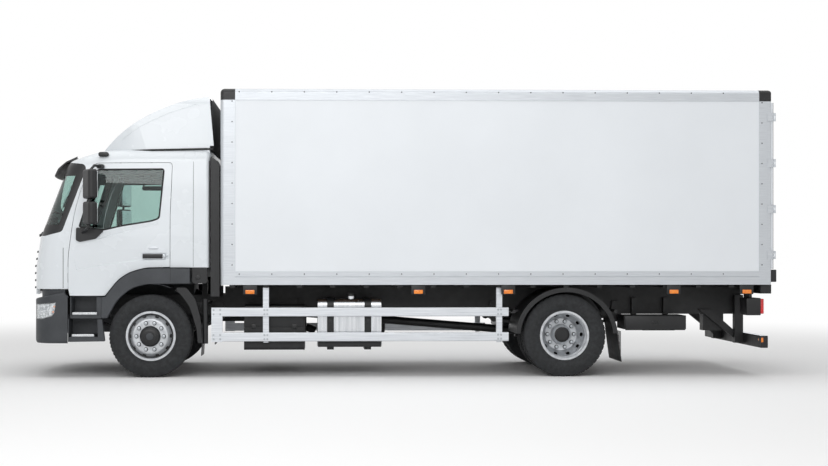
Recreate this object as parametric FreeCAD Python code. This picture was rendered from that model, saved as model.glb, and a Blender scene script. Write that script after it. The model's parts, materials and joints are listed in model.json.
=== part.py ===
import FreeCAD, Part
import math
import os

# Two-axle box truck: tilting cab, ladder frame and an aluminium box body.
# Millimetres. X runs rearward, Y to the vehicle's right, Z up, floor at Z = 0.
# Lengths along X are first laid out from the front axle and moved to the middle of the truck when saved.

# Stance
WHEELBASE = 5100.0
FRONT_OVERHANG = 1545.0
CLEARANCE = 6.0

# Tyres and wheels
TYRE_RADIUS = 507.0
TYRE_WIDTH = 315.0
TYRE_OUTER_FACE = 1200.0
TYRE_SHOULDER = 30.0
BEAD_RADIUS = 286.0
RIM_WIDTH = 236.0
RIM_WALL = 8.0
FLANGE_HEIGHT = 19.0
WELL_DEPTH = 16.0
WHEEL_INSET = 160.0
DISC_THICKNESS = 13.0
DISC_FACE_RADIUS = 212.0
HAND_HOLES = 10
HAND_HOLE_RADIUS = 246.0
HAND_HOLE_LENGTH = 50.0
HAND_HOLE_WIDTH = 29.0
STUD_CIRCLE = 335.0
STUD_HOLE = 26.0
HUB_RADIUS = 123.0
HUB_PROUD = 52.0
DRUM_RADIUS = 205.0
DRUM_LENGTH = 150.0
SPINDLE_RADIUS = 38.0
BEARING_GAP = 0.5

# Steering
KINGPIN_Y = 870.0
KINGPIN_RADIUS = 24.0
STEER_ARM_LENGTH = 210.0
TIE_ROD_RADIUS = 20.0

# Ladder frame
RAIL_OUTER_Y = 430.0
RAIL_FLANGE = 80.0
RAIL_WALL = 8.0
RAIL_BOTTOM = 740.0
RAIL_TOP = 992.0
RAIL_FRONT = -1330.0
CROSS_MEMBER_DEPTH = 100.0
CROSS_MEMBER_LENGTH = 90.0
HOOP_X = 600.0
TOW_PLATE = 14.0
TOW_HOLE_SPACING_Y = 160.0
TOW_HOLE_SPACING_Z = 100.0
TOW_HOLE_RADIUS = 10.5
PIVOT_EYE = 40.0
PIVOT_PIN = 15.0
PIVOT_ARM_HALF = 24.0
ARM_INNER_Y = 360.0
ARM_WIDTH = 60.0
CHEEK = 14.0

# Springs
SPRING_Y = 440.0
SPRING_WIDTH = 90.0
SPRING_THICKNESS = 44.0
SPRING_HALF_LENGTH = 790.0
SPRING_EYE_RADIUS = 36.0
SPRING_EYE_DROP = 60.0

# Axles and engine
FRONT_SEAT = 477.0
REAR_SEAT = 590.0
BEAM_LENGTH = 90.0
BEAM_POCKET = 26.0
AXLE_TUBE = 65.0
BANJO_RADIUS = 215.0
PROPSHAFT_RADIUS = 52.0
YOKE = 36.0
ENGINE_FRONT = -520.0
ENGINE_REAR = 450.0
ENGINE_TOP = 1400.0
GEARBOX_REAR = 1215.0
GEARBOX_Z = 790.0

# Pieces hung on the frame
TANK_FRONT = 2042.0
TANK_REAR = 2840.0
TANK_BOTTOM = 364.0
TANK_TOP = 959.0
TANK_OUTER = 1100.0
TANK_DEPTH = 600.0
STRAP = 6.0
STRAP_WIDTH = 84.0
GUARD_OUTER = 1200.0
GUARD_THICKNESS = 28.0
GUARD_FRONT = 745.0
GUARD_REAR = 4400.0
GUARD_LIP = 1225.0
ARCH_SHEET = 642.0
BAR_FRONT = 7532.0
BAR_BOTTOM = 350.0
REAR_BAR_REACH = 111.0
REAR_BAR_PROUD = 22.0
TAIL_LAMP_SETBACK = 124.0
REAR_BAR_LIFT = 32.0

# Load box
BOX_FRONT = 859.0
BOX_LENGTH = 6780.0
BOX_WIDTH = 2550.0
BOX_BOTTOM = 1136.0
BOX_TOP = 3536.0
EDGE_SKIN = 7.0
PANEL = 25.0
EDGE_CORE = 63.0
EDGE_ROUND = 52.0
SIDE_FLANGE = 70.0
POST_WIDTH = 105.0
POST_FLANGE = 77.0
BOTTOM_RAIL_HEIGHT = 166.0
FLOOR_BOTTOM = 1152.0
FLOOR_THICKNESS = 143.0
CAP_LENGTH = 182.0
SILL_DEPTH = 43.0
REAR_FRAME_DEPTH = 78.0
REAR_FRAME_WIDTH = 80.0
REAR_SILL_TOP = 1322.0
SUBFRAME_TOP = 1100.0
BEARER_PITCH = 411.0
BEARER_WIDTH = 60.0
BEARER_HALF_SPAN = 1215.0

# Rear doors
LEAF_THICKNESS = 24.0
LEAF_GAP = 3.0
DOOR_TOP = BOX_TOP - 156.0
DOOR_MIDDLE_GAP = 8.0
HINGE_PROUD = 14.0
HINGE_STANDOFF = 16.0
HINGE_KNUCKLE = 11.0
HINGE_PIN = 5.0
HINGE_COUNT = 4
LOCK_BAR_RADIUS = 11.0
LOCK_BAR_Y = 420.0
BUFFER_DEPTH = 70.0

# Cab
CAB_FRONT = -1540.0
CAB_REAR = 725.0
CAB_WIDTH = 2360.0
CAB_WALL = 45.0
CAB_FRONT_RADIUS = 4500.0
CAB_CORNER_RADIUS = 300.0
CAB_BASE = 950.0
BROW_START = 1350.0
WAIST = 1730.0
BROW_LEAN = 0.145
SCREEN_LEAN = 0.37
SIDE_LEAN = 0.045
ROOF_TOP = 2888.0
ROOF_CAMBER_RADIUS = 6450.0
ROOF_FALL_START = -250.0
ROOF_FALL_RADIUS = 1950.0
ROOF_ROUND = 170.0
REAR_ROUND = 60.0
SKIRT_BOTTOM = 1085.0
SHELL_REAR_BOTTOM = 1350.0
FLOOR_UNDERSIDE = 1290.0
CAB_FLOOR_THICKNESS = 40.0
GLASS_INSET = 5.0
GLASS = 8.0

# Cab pivot and its doors
PIVOT_X = -1410.0
PIVOT_Z = 900.0
DOOR_GAP = 6.0
DOOR_BOTTOM = 997.0
DOOR_REAR = 241.0
DOOR_HINGE_X = -1010.0
DOOR_HINGES = [1130.0, 1320.0]
BARREL = 5.5
BARREL_LENGTH = 24.0
BARREL_PIN = 2.5
FLAP_TOP = 1690.0
FLAP_BOTTOM = 1016.0
FLAP_HALF_WIDTH = 890.0
FLAP_AXIS_RISE = 2.0
FLAP_HINGE_Y = 120.0
FLAP_BARREL = 7.0
FLAP_BARREL_GAP = 2.0
DOOR_ARCH = [(-555.0, 997.0), (-400.0, 1193.0), (-262.0, 1288.0), (-60.0, 1343.0), (241.0, 1350.0)]
DOOR_ARCH_ROUND = 450.0
DOOR_HEAD = 2641.0
SCREEN_HEAD = 2640.0
GRILLE_HALF_WIDTH = 850.0
GRILLE_BOTTOM = 1050.0
GRILLE_TOP = 1580.0
GRILLE_CORNER = 60.0
SLAT_COUNT = 6
SLAT_PROUD = 18.0
VISOR_HALF_WIDTH = 900.0
TUNNEL_HALF_WIDTH = 365.0

# Deflector, flares, steps and bumper
DEFLECTOR_REAR = 762.0
DEFLECTOR_TOP = 3470.0
DEFLECTOR_WIDTH = 2120.0
DEFLECTOR_WALL = 14.0
DEFLECTOR_RECESS = 7.0
FLARE_PROUD = 50.0
STEP_SPLIT = 728.0
APRON_TOP = 1076.0
APRON_REACH = 470.0
APRON_REAR = -1045.0
BUMPER_WIDTH = 2460.0
BUMPER_REAR = -1003.0
BUMPER_BOTTOM = 402.0
BUMPER_TOP_FRONT = 935.0
BUMPER_TOP_REAR = 1046.0
BUMPER_CUT = 50.0
BUMPER_WALL = 14.0
BUMPER_LIP = 80.0
LAMP_INNER = 780.0
LAMP_DEPTH = 60.0

# Mirrors and interior
MIRROR_X = -705.0
MIRROR_Y = 1390.0
SEAT_Y = 560.0
DASH_FRONT = -1425.0
DASH_GAP = 12.0
WHEEL_CENTRE = (-830.0, -560.0, 1850.0)
WHEEL_RING = 222.0
WHEEL_TILT = 28.0
BOSS_DROP = 34.0


def vec(x, y, z):
    return FreeCAD.Vector(x, y, z)


def block(x0, x1, y0, y1, z0, z1):
    return Part.makeBox(x1 - x0, y1 - y0, z1 - z0, vec(x0, y0, z0))


def rod(start, end, radius):
    """Round bar between two points."""
    a = vec(*start)
    b = vec(*end)
    return Part.makeCylinder(radius, (b - a).Length, a, b - a)


PLANES = {
    "XY": lambda u, v, w: vec(u, v, w),
    "XZ": lambda u, v, w: vec(u, w, v),
    "YZ": lambda u, v, w: vec(w, u, v),
}


def outline(points, plane, level=0.0):
    """Closed wire through corner points; a third number on a point rounds that corner."""
    place = PLANES[plane]
    count = len(points)
    starts = []
    ends = []
    middles = []
    for i, point in enumerate(points):
        here = vec(point[0], point[1], 0)
        if len(point) < 3:
            starts.append(here)
            ends.append(here)
            middles.append(None)
            continue
        before = vec(points[i - 1][0], points[i - 1][1], 0) - here
        after = vec(points[(i + 1) % count][0], points[(i + 1) % count][1], 0) - here
        before.normalize()
        after.normalize()
        half = before.getAngle(after) / 2
        reach = point[2] / math.tan(half)
        inward = before + after
        inward.normalize()
        starts.append(here + before * reach)
        ends.append(here + after * reach)
        middles.append(here + inward * (point[2] / math.sin(half) - point[2]))
    edges = []
    for i in range(count):
        start = place(starts[i].x, starts[i].y, level)
        end = place(ends[i].x, ends[i].y, level)
        following = starts[(i + 1) % count]
        if middles[i] is not None:
            middle = place(middles[i].x, middles[i].y, level)
            edges.append(Part.Arc(start, middle, end).toShape())
        target = place(following.x, following.y, level)
        if (target - end).Length > 0.01:
            edges.append(Part.LineSegment(end, target).toShape())
    return Part.Wire(edges)


def prism(points, plane, start, end):
    """Outline drawn in a plane and extruded between two levels of the third axis."""
    face = Part.Face(outline(points, plane, start))
    place = PLANES[plane]
    return face.extrude(place(0, 0, end) - place(0, 0, start))


def turned(points):
    """Profile of (offset along the axle, radius) points turned about the Y axis."""
    face = Part.Face(outline([(p[1], p[0]) + tuple(p[2:]) for p in points], "XY"))
    return face.revolve(vec(0, 0, 0), vec(0, 1, 0), 360)


def moved(shape, x, y, z):
    copy = shape.copy()
    copy.translate(vec(x, y, z))
    return copy


def both_rows(shapes):
    """A list of shapes and their mirror images."""
    return shapes + [mirrored(shape) for shape in shapes]


def mirrored(shape):
    return shape.mirror(vec(0, 0, 0), vec(0, 1, 0))


def fused(shapes):
    return shapes[0].multiFuse(shapes[1:]).removeSplitter()


def group(shapes):
    """Separate solids of one kind that share a node."""
    solids = []
    for shape in shapes:
        solids.extend(shape.Solids)
    return Part.makeCompound(solids)


def both_sides(shape):
    return group([shape, mirrored(shape)])


def softened(shape, radius, chosen):
    """Rounds the edges whose bounding box passes the given test."""
    edges = [edge for edge in shape.Edges if chosen(edge.BoundBox)]
    return shape.makeFillet(radius, edges)


# Places that several pieces share
REAR_AXLE = WHEELBASE
AXLE_HEIGHT = TYRE_RADIUS
BOX_REAR = BOX_FRONT + BOX_LENGTH
BOX_SIDE = BOX_WIDTH / 2
CAB_SIDE = CAB_WIDTH / 2
TYRE_CENTRE = TYRE_OUTER_FACE - TYRE_WIDTH / 2
TWIN_SPACING = 2 * (WHEEL_INSET + DISC_THICKNESS)
TWIN_CENTRE = TYRE_CENTRE - TWIN_SPACING
LEAF_FRONT = BOX_REAR + LEAF_GAP
LEAF_REAR = LEAF_FRONT + LEAF_THICKNESS
HINGE_X = LEAF_REAR + HINGE_STANDOFF
HINGE_Y = BOX_SIDE + HINGE_PROUD
TRUCK_REAR = BOX_REAR + BUFFER_DEPTH
MIDDLE = (TRUCK_REAR - FRONT_OVERHANG) / 2


def save(name, shape):
    moved(shape, -MIDDLE, 0, 0).exportStep("parts/" + name + ".step")


# Tyres and wheels, drawn for the right side with the outboard direction along +Y
def tyre():
    half = TYRE_WIDTH / 2
    bead = RIM_WIDTH / 2 - RIM_WALL
    sidewall = (TYRE_RADIUS + BEAD_RADIUS) / 2
    tread = half - TYRE_SHOULDER
    right = [
        (bead, BEAD_RADIUS),
        (bead, BEAD_RADIUS + FLANGE_HEIGHT),
        (half, sidewall, 60),
        (half - 8, TYRE_RADIUS - 45, 40),
        (tread, TYRE_RADIUS, 12),
    ]
    left = [(-p[0],) + p[1:] for p in reversed(right)]
    return turned(right + left)


def rim():
    """Drop-centre rim whose flanges hold the tyre's beads."""
    half = RIM_WIDTH / 2
    seat = BEAD_RADIUS
    well = BEAD_RADIUS - WELL_DEPTH
    lip = BEAD_RADIUS + FLANGE_HEIGHT
    outer = [
        (half, lip),
        (half - RIM_WALL, lip),
        (half - RIM_WALL, seat),
        (half - 42, seat),
        (half - 58, well),
    ]
    inner = [
        (half - 62, well - RIM_WALL),
        (half - 44, seat - RIM_WALL),
        (half, seat - RIM_WALL),
    ]
    mirror = [(-p[0], p[1]) for p in reversed(outer)]
    mirror_inner = [(-p[0], p[1]) for p in reversed(inner)]
    return turned(outer + mirror + mirror_inner + inner)


def hand_hole():
    """Long round-ended hole along the rim, through the whole wheel."""
    half = (HAND_HOLE_LENGTH - HAND_HOLE_WIDTH) / 2
    radius = HAND_HOLE_WIDTH / 2
    corners = [
        (-half - radius, HAND_HOLE_RADIUS - radius, radius * 0.98),
        (half + radius, HAND_HOLE_RADIUS - radius, radius * 0.98),
        (half + radius, HAND_HOLE_RADIUS + radius, radius * 0.98),
        (-half - radius, HAND_HOLE_RADIUS + radius, radius * 0.98),
    ]
    return prism(corners, "XZ", 0, 2 * WHEEL_INSET)


def disc():
    """Dished wheel disc from the rim's well out to the flat bolted face."""
    face = WHEEL_INSET + DISC_THICKNESS
    root = BEAD_RADIUS - WELL_DEPTH - RIM_WALL
    centre = HUB_RADIUS + 6
    profile = [
        (WHEEL_INSET, centre),
        (face, centre),
        (face, DISC_FACE_RADIUS, 30),
        (face - 45, DISC_FACE_RADIUS + 26, 20),
        (RIM_WIDTH / 2 - 50, root + 1),
        (RIM_WIDTH / 2 - 68, root + 1),
        (face - 62, DISC_FACE_RADIUS + 14, 20),
        (WHEEL_INSET, DISC_FACE_RADIUS - 10, 17),
    ]
    dish = turned(profile)
    cuts = []
    for i in range(HAND_HOLES):
        hole = hand_hole()
        hole.rotate(vec(0, 0, 0), vec(0, 1, 0), (i + 0.5) * 360 / HAND_HOLES)
        cuts.append(hole)
    return dish.cut(cuts)


def wheel():
    return fused([rim(), disc()])


def hub(bore_end):
    """Hub with its brake drum, bolting flange and domed cap, bored for the spindle."""
    flange = WHEEL_INSET
    cap_end = flange + DISC_THICKNESS + HUB_PROUD
    drum_end = flange - 22
    drum_start = drum_end - DRUM_LENGTH
    profile = [
        (bore_end, 0),
        (cap_end, 0),
        (cap_end, HUB_RADIUS - 45, 14),
        (cap_end - 20, HUB_RADIUS - 18, 10),
        (flange + DISC_THICKNESS, HUB_RADIUS),
        (flange, HUB_RADIUS),
        (flange, STUD_CIRCLE / 2 + STUD_HOLE),
        (drum_end, DRUM_RADIUS - 20),
        (drum_end - 12, DRUM_RADIUS),
        (drum_start, DRUM_RADIUS),
        (drum_start, DRUM_RADIUS - 16),
        (drum_end - 28, DRUM_RADIUS - 20),
        (drum_end - 28, HUB_RADIUS - 30),
        (drum_start + 20, HUB_RADIUS - 40),
        (drum_start + 20, SPINDLE_RADIUS + BEARING_GAP),
        (bore_end, SPINDLE_RADIUS + BEARING_GAP),
    ]
    return turned(profile)


def front_wheel():
    return fused([wheel(), hub(WHEEL_INSET - 30)])


def rear_wheels():
    """Twin wheels bolted face to face on one hub; the outer one is dished inward."""
    face = WHEEL_INSET + DISC_THICKNESS
    outer = wheel().mirror(vec(0, 0, 0), vec(0, 1, 0))
    inner = moved(wheel(), 0, -TWIN_SPACING, 0)
    drum = moved(hub(WHEEL_INSET - 30), 0, -TWIN_SPACING, 0)
    neck = turned([
        (-face, 0),
        (-face + 120, 0),
        (-face + 120, HUB_RADIUS - 30, 16),
        (-face + 96, HUB_RADIUS - 6, 8),
        (-face, HUB_RADIUS + 6.5),
    ])
    return fused([outer, inner, drum, neck])


def build_wheels():
    places = {
        "front_tyre": (tyre(), 0),
        "front_wheel": (front_wheel(), 0),
        "rear_wheels": (rear_wheels(), REAR_AXLE),
        "rear_tyres": (group([tyre(), moved(tyre(), 0, -TWIN_SPACING, 0)]), REAR_AXLE),
    }
    for name, (shape, x) in places.items():
        right = moved(shape, x, TYRE_CENTRE, AXLE_HEIGHT)
        save(name + "_right", right)
        save(name + "_left", mirrored(right))


# Running gear
def build_frame():
    """Two channel side rails, open inward, running the length of the truck."""
    inner = RAIL_OUTER_Y - RAIL_FLANGE
    web = RAIL_OUTER_Y - RAIL_WALL
    section = [
        (RAIL_OUTER_Y, RAIL_BOTTOM),
        (RAIL_OUTER_Y, RAIL_TOP),
        (inner, RAIL_TOP),
        (inner, RAIL_TOP - RAIL_WALL),
        (web, RAIL_TOP - RAIL_WALL),
        (web, RAIL_BOTTOM + RAIL_WALL),
        (inner, RAIL_BOTTOM + RAIL_WALL),
        (inner, RAIL_BOTTOM),
    ]
    save("frame_rails", both_sides(prism(section, "YZ", RAIL_FRONT, BOX_REAR - REAR_BAR_REACH)))


def cross_member(x):
    """Channel across the frame, open downward, between the two webs."""
    web = RAIL_OUTER_Y - RAIL_WALL
    half = CROSS_MEMBER_LENGTH / 2
    top = RAIL_TOP - RAIL_WALL
    bottom = top - CROSS_MEMBER_DEPTH
    section = [
        (x - half, bottom),
        (x - half, top),
        (x + half, top),
        (x + half, bottom),
        (x + half - RAIL_WALL, bottom),
        (x + half - RAIL_WALL, top - RAIL_WALL),
        (x - half + RAIL_WALL, top - RAIL_WALL),
        (x - half + RAIL_WALL, bottom),
    ]
    return prism(section, "XZ", -web, web)


def pivot_cheek(y, thickness):
    """Plate that carries the cab's pivot pin ahead of a side rail."""
    edge = PIVOT_EYE + 5
    corners = [
        (RAIL_FRONT + 130, RAIL_BOTTOM + 20),
        (RAIL_FRONT + 130, RAIL_TOP - 12),
        (RAIL_FRONT, RAIL_TOP - 12),
        (PIVOT_X - edge, PIVOT_Z + edge, edge * 0.9),
        (PIVOT_X - edge, PIVOT_Z - edge, edge * 0.9),
        (RAIL_FRONT, RAIL_BOTTOM + 20),
    ]
    return prism(corners, "XZ", y, y + thickness)


def cab_hoop():
    """Arched stand behind the engine that the rear of the cab rests on."""
    outer = RAIL_OUTER_Y + 12
    top = FLOOR_UNDERSIDE
    shape = [
        (-outer, RAIL_TOP),
        (-outer, top, 90),
        (outer, top, 90),
        (outer, RAIL_TOP),
        (outer - 70, RAIL_TOP),
        (outer - 70, top - 70, 50),
        (-outer + 70, top - 70, 50),
        (-outer + 70, RAIL_TOP),
    ]
    return prism(shape, "YZ", HOOP_X - 35, HOOP_X + 35)


def tow_plate():
    """Plate across the frame's rear end, drilled for a tow coupling."""
    web = RAIL_OUTER_Y - RAIL_WALL
    rear = BOX_REAR - REAR_BAR_REACH - 10
    front = rear - TOW_PLATE
    middle = (RAIL_BOTTOM + RAIL_TOP) / 2
    plate = block(front, rear, -web, web, RAIL_BOTTOM + RAIL_WALL, RAIL_TOP - RAIL_WALL)
    holes = []
    for y in (-TOW_HOLE_SPACING_Y / 2, TOW_HOLE_SPACING_Y / 2):
        for z in (middle - TOW_HOLE_SPACING_Z / 2, middle + TOW_HOLE_SPACING_Z / 2):
            holes.append(rod((front - 1, y, z), (rear + 1, y, z), TOW_HOLE_RADIUS))
    return plate.cut(holes)


def build_cross_members():
    """Cross-members, the cab's pivot brackets with their pins, and the cab's rear stand."""
    last = BOX_REAR - REAR_BAR_REACH - CROSS_MEMBER_LENGTH
    shapes = [cross_member(x) for x in (RAIL_FRONT + 90, 1500, 2900, 4250, REAR_AXLE + 850, last)]
    for side in (-1, 1):
        outer = pivot_cheek(RAIL_OUTER_Y, CHEEK)
        inner = pivot_cheek(RAIL_OUTER_Y - RAIL_FLANGE - CHEEK, CHEEK)
        ends = (RAIL_OUTER_Y - RAIL_FLANGE - CHEEK, RAIL_OUTER_Y + CHEEK)
        pin = rod((PIVOT_X, ends[0], PIVOT_Z), (PIVOT_X, ends[1], PIVOT_Z), PIVOT_PIN)
        bracket = fused([outer, inner, pin])
        shapes.append(bracket if side > 0 else mirrored(bracket))
    shapes.append(cab_hoop())
    shapes.append(tow_plate())
    save("cross_members", group(shapes))


def build_engine():
    """Plain engine block with its sump, bell housing and gearbox."""
    engine = block(ENGINE_FRONT, ENGINE_REAR, -300, 300, 560, ENGINE_TOP)
    sump = prism([(-210, 500, 30), (210, 500, 30), (240, 560), (-240, 560)], "YZ",
                 ENGINE_FRONT + 40, ENGINE_REAR - 30)
    bell = Part.makeCone(270, 170, 220, vec(ENGINE_REAR, 0, GEARBOX_Z), vec(1, 0, 0))
    case = block(ENGINE_REAR + 220, GEARBOX_REAR - 60, -160, 160, GEARBOX_Z - 150, GEARBOX_Z + 140)
    output = rod((GEARBOX_REAR - 60, 0, GEARBOX_Z), (GEARBOX_REAR, 0, GEARBOX_Z), 80)
    fan = rod((ENGINE_FRONT - 70, 0, 940), (ENGINE_FRONT, 0, 940), 120)
    save("engine_gearbox", fused([engine, sump, bell, case, output, fan]))


def axle_beam():
    """Forged beam with a dropped middle, spring seats and kingpin eyes."""
    seat = FRONT_SEAT
    right = [
        (0, seat - 27),
        (SPRING_Y - 110, seat - 27, 60),
        (SPRING_Y - 65, seat, 20),
        (SPRING_Y + 65, seat, 30),
        (KINGPIN_Y - 130, AXLE_HEIGHT + 45, 60),
        (KINGPIN_Y, AXLE_HEIGHT + 45),
        (KINGPIN_Y, AXLE_HEIGHT - 50),
        (KINGPIN_Y - 90, AXLE_HEIGHT - 50, 60),
        (SPRING_Y + 80, seat - 95, 80),
        (SPRING_Y - 130, seat - 120, 80),
        (0, seat - 120),
    ]
    left = [(-p[0],) + p[1:] for p in reversed(right[1:-1])]
    face = Part.Face(outline(right[:-1] + [right[-1]] + left, "YZ", -BEAM_LENGTH / 2))
    beam = face.extrude(vec(BEAM_LENGTH, 0, 0))
    pocket = face.makeOffset2D(-22)
    cuts = []
    for x in (0, BEAM_LENGTH - BEAM_POCKET):
        cut = pocket.extrude(vec(BEAM_POCKET, 0, 0))
        cuts.append(moved(cut, x, 0, 0))
    return beam.cut(cuts)


def build_front_axle():
    beam = axle_beam()
    top = AXLE_HEIGHT + 50
    bottom = AXLE_HEIGHT - 58
    eyes = [rod((0, y, bottom), (0, y, top), KINGPIN_RADIUS + 22) for y in (-KINGPIN_Y, KINGPIN_Y)]
    bore = KINGPIN_RADIUS + BEARING_GAP
    bores = [rod((0, y, 0), (0, y, 2 * top), bore) for y in (-KINGPIN_Y, KINGPIN_Y)]
    save("front_axle", fused([beam] + eyes).cut(bores))


def spring(axle_x, seat):
    """Leaf spring with its eyes, the hangers under the rail and the clamp plate."""
    eye_z = RAIL_BOTTOM - SPRING_EYE_DROP
    t = SPRING_THICKNESS
    ends = (axle_x - SPRING_HALF_LENGTH, axle_x + SPRING_HALF_LENGTH)
    y0 = SPRING_Y - SPRING_WIDTH / 2
    lower = Part.Arc(vec(ends[0], y0, eye_z - t / 2), vec(axle_x, y0, seat), vec(ends[1], y0, eye_z - t / 2))
    upper = Part.Arc(vec(ends[0], y0, eye_z + 4), vec(axle_x, y0, seat + t), vec(ends[1], y0, eye_z + 4))
    sides = [Part.LineSegment(vec(x, y0, eye_z - t / 2), vec(x, y0, eye_z + 4)).toShape() for x in ends]
    wire = Part.Wire([lower.toShape(), sides[1], upper.toShape(), sides[0]])
    leaf = Part.Face(wire).extrude(vec(0, SPRING_WIDTH, 0))
    shapes = [leaf]
    for x in ends:
        shapes.append(rod((x, y0, eye_z), (x, y0 + SPRING_WIDTH, eye_z), SPRING_EYE_RADIUS))
        foot = SPRING_EYE_RADIUS + 14
        under = [(x - foot, eye_z), (x + foot, eye_z), (x + foot + 20, RAIL_BOTTOM), (x - foot - 20, RAIL_BOTTOM)]
        shapes.append(prism(under, "XZ", y0, y0 + SPRING_WIDTH))
        beside = [
            (x - foot - 20, RAIL_BOTTOM),
            (x + foot + 20, RAIL_BOTTOM),
            (x + foot, RAIL_BOTTOM + 170, 20),
            (x - foot, RAIL_BOTTOM + 170, 20),
        ]
        shapes.append(prism(beside, "XZ", RAIL_OUTER_Y, y0 + SPRING_WIDTH))
    shapes.append(block(axle_x - 75, axle_x + 75, y0 - 8, y0 + SPRING_WIDTH + 8, seat, seat + t + 28))
    return fused(shapes)


def build_springs():
    shapes = []
    for axle_x, seat in ((0, FRONT_SEAT), (REAR_AXLE, REAR_SEAT)):
        one = spring(axle_x, seat)
        shapes += [one, mirrored(one)]
    save("leaf_springs", group(shapes))


def build_rear_axle():
    """Banjo housing with its spindles, brake plates, pinion nose and the propeller shaft."""
    plate = TWIN_CENTRE + WHEEL_INSET - 22 - DRUM_LENGTH - 10
    end = TWIN_CENTRE + WHEEL_INSET - 32
    half = [
        (0, 0),
        (end, 0),
        (end, SPINDLE_RADIUS),
        (plate, SPINDLE_RADIUS),
        (plate, DRUM_RADIUS - 8),
        (plate - 10, DRUM_RADIUS - 8),
        (plate - 10, AXLE_TUBE),
        (300, AXLE_TUBE, 120),
        (150, BANJO_RADIUS - 20, 70),
        (60, BANJO_RADIUS, 80),
        (0, BANJO_RADIUS),
    ]
    right = turned(half)
    housing = moved(fused([right, mirrored(right)]), REAR_AXLE, 0, AXLE_HEIGHT)
    nose_end = REAR_AXLE - 420
    nose = Part.makeCone(130, 70, 260, vec(REAR_AXLE - 160, 0, AXLE_HEIGHT), vec(-1, 0, 0))
    yoke = rod((GEARBOX_REAR, 0, GEARBOX_Z), (GEARBOX_REAR + YOKE, 0, GEARBOX_Z), PROPSHAFT_RADIUS + 20)
    shaft = rod((nose_end + 8, 0, AXLE_HEIGHT), (GEARBOX_REAR + YOKE * 0.7, 0, GEARBOX_Z), PROPSHAFT_RADIUS)
    flange = rod((nose_end - 30, 0, AXLE_HEIGHT + 2), (nose_end + 10, 0, AXLE_HEIGHT), 85)
    shapes = [housing, nose, yoke, shaft, flange]
    seat_top = REAR_SEAT
    for side in (-1, 1):
        y = side * SPRING_Y
        half_width = SPRING_WIDTH / 2 + 8
        shapes.append(block(REAR_AXLE - 75, REAR_AXLE + 75, y - half_width, y + half_width, AXLE_HEIGHT, seat_top))
    save("rear_axle", fused(shapes))


# Steering
def knuckle():
    """Right steering knuckle: fork, kingpin, spindle, brake plate and steering arm."""
    top = AXLE_HEIGHT + 50 + 2
    bottom = AXLE_HEIGHT - 58 - 2
    lug = 44.0
    outboard = KINGPIN_Y + KINGPIN_RADIUS + 22 + 6
    plate = TYRE_CENTRE + WHEEL_INSET - 22 - DRUM_LENGTH - 10
    shapes = [rod((0, KINGPIN_Y, bottom - lug), (0, KINGPIN_Y, top + lug), KINGPIN_RADIUS)]
    for z in (bottom - lug, top):
        shapes.append(rod((0, KINGPIN_Y, z), (0, KINGPIN_Y, z + lug), KINGPIN_RADIUS + 20))
        shapes.append(block(-42, 42, KINGPIN_Y, outboard + 30, z, z + lug))
    shapes.append(block(-70, 70, outboard, outboard + 40, bottom - lug, top + lug))
    shapes.append(rod((0, outboard, AXLE_HEIGHT), (0, plate, AXLE_HEIGHT), 80))
    shapes.append(rod((0, plate - 10, AXLE_HEIGHT), (0, plate, AXLE_HEIGHT), DRUM_RADIUS - 8))
    shapes.append(rod((0, plate, AXLE_HEIGHT), (0, TYRE_CENTRE + WHEEL_INSET - 32, AXLE_HEIGHT), SPINDLE_RADIUS))
    arm_z = bottom - lug
    arm = [
        (-30, KINGPIN_Y - 26),
        (STEER_ARM_LENGTH + 30, KINGPIN_Y - 26, 25),
        (STEER_ARM_LENGTH + 30, KINGPIN_Y + 26, 25),
        (60, KINGPIN_Y + 32),
        (-30, KINGPIN_Y + 40),
    ]
    shapes.append(prism(arm, "XY", arm_z, arm_z + 34))
    ball = rod((STEER_ARM_LENGTH, KINGPIN_Y, arm_z - 46), (STEER_ARM_LENGTH, KINGPIN_Y, arm_z), 13)
    return fused(shapes + [ball])


def build_steering():
    right = knuckle()
    save("knuckle_right", right)
    save("knuckle_left", mirrored(right))
    bottom = AXLE_HEIGHT - 58 - 2 - 44
    z = bottom - 28
    ends = [(STEER_ARM_LENGTH, side * KINGPIN_Y, z) for side in (-1, 1)]
    bar = rod(ends[0], ends[1], TIE_ROD_RADIUS)
    sockets = [rod((p[0], p[1], z - 24), (p[0], p[1], z + 20), 32) for p in ends]
    bores = [rod((p[0], p[1], z - 60), (p[0], p[1], z + 60), 13 + BEARING_GAP) for p in ends]
    save("tie_rod", fused([bar] + sockets).cut(bores))


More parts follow.
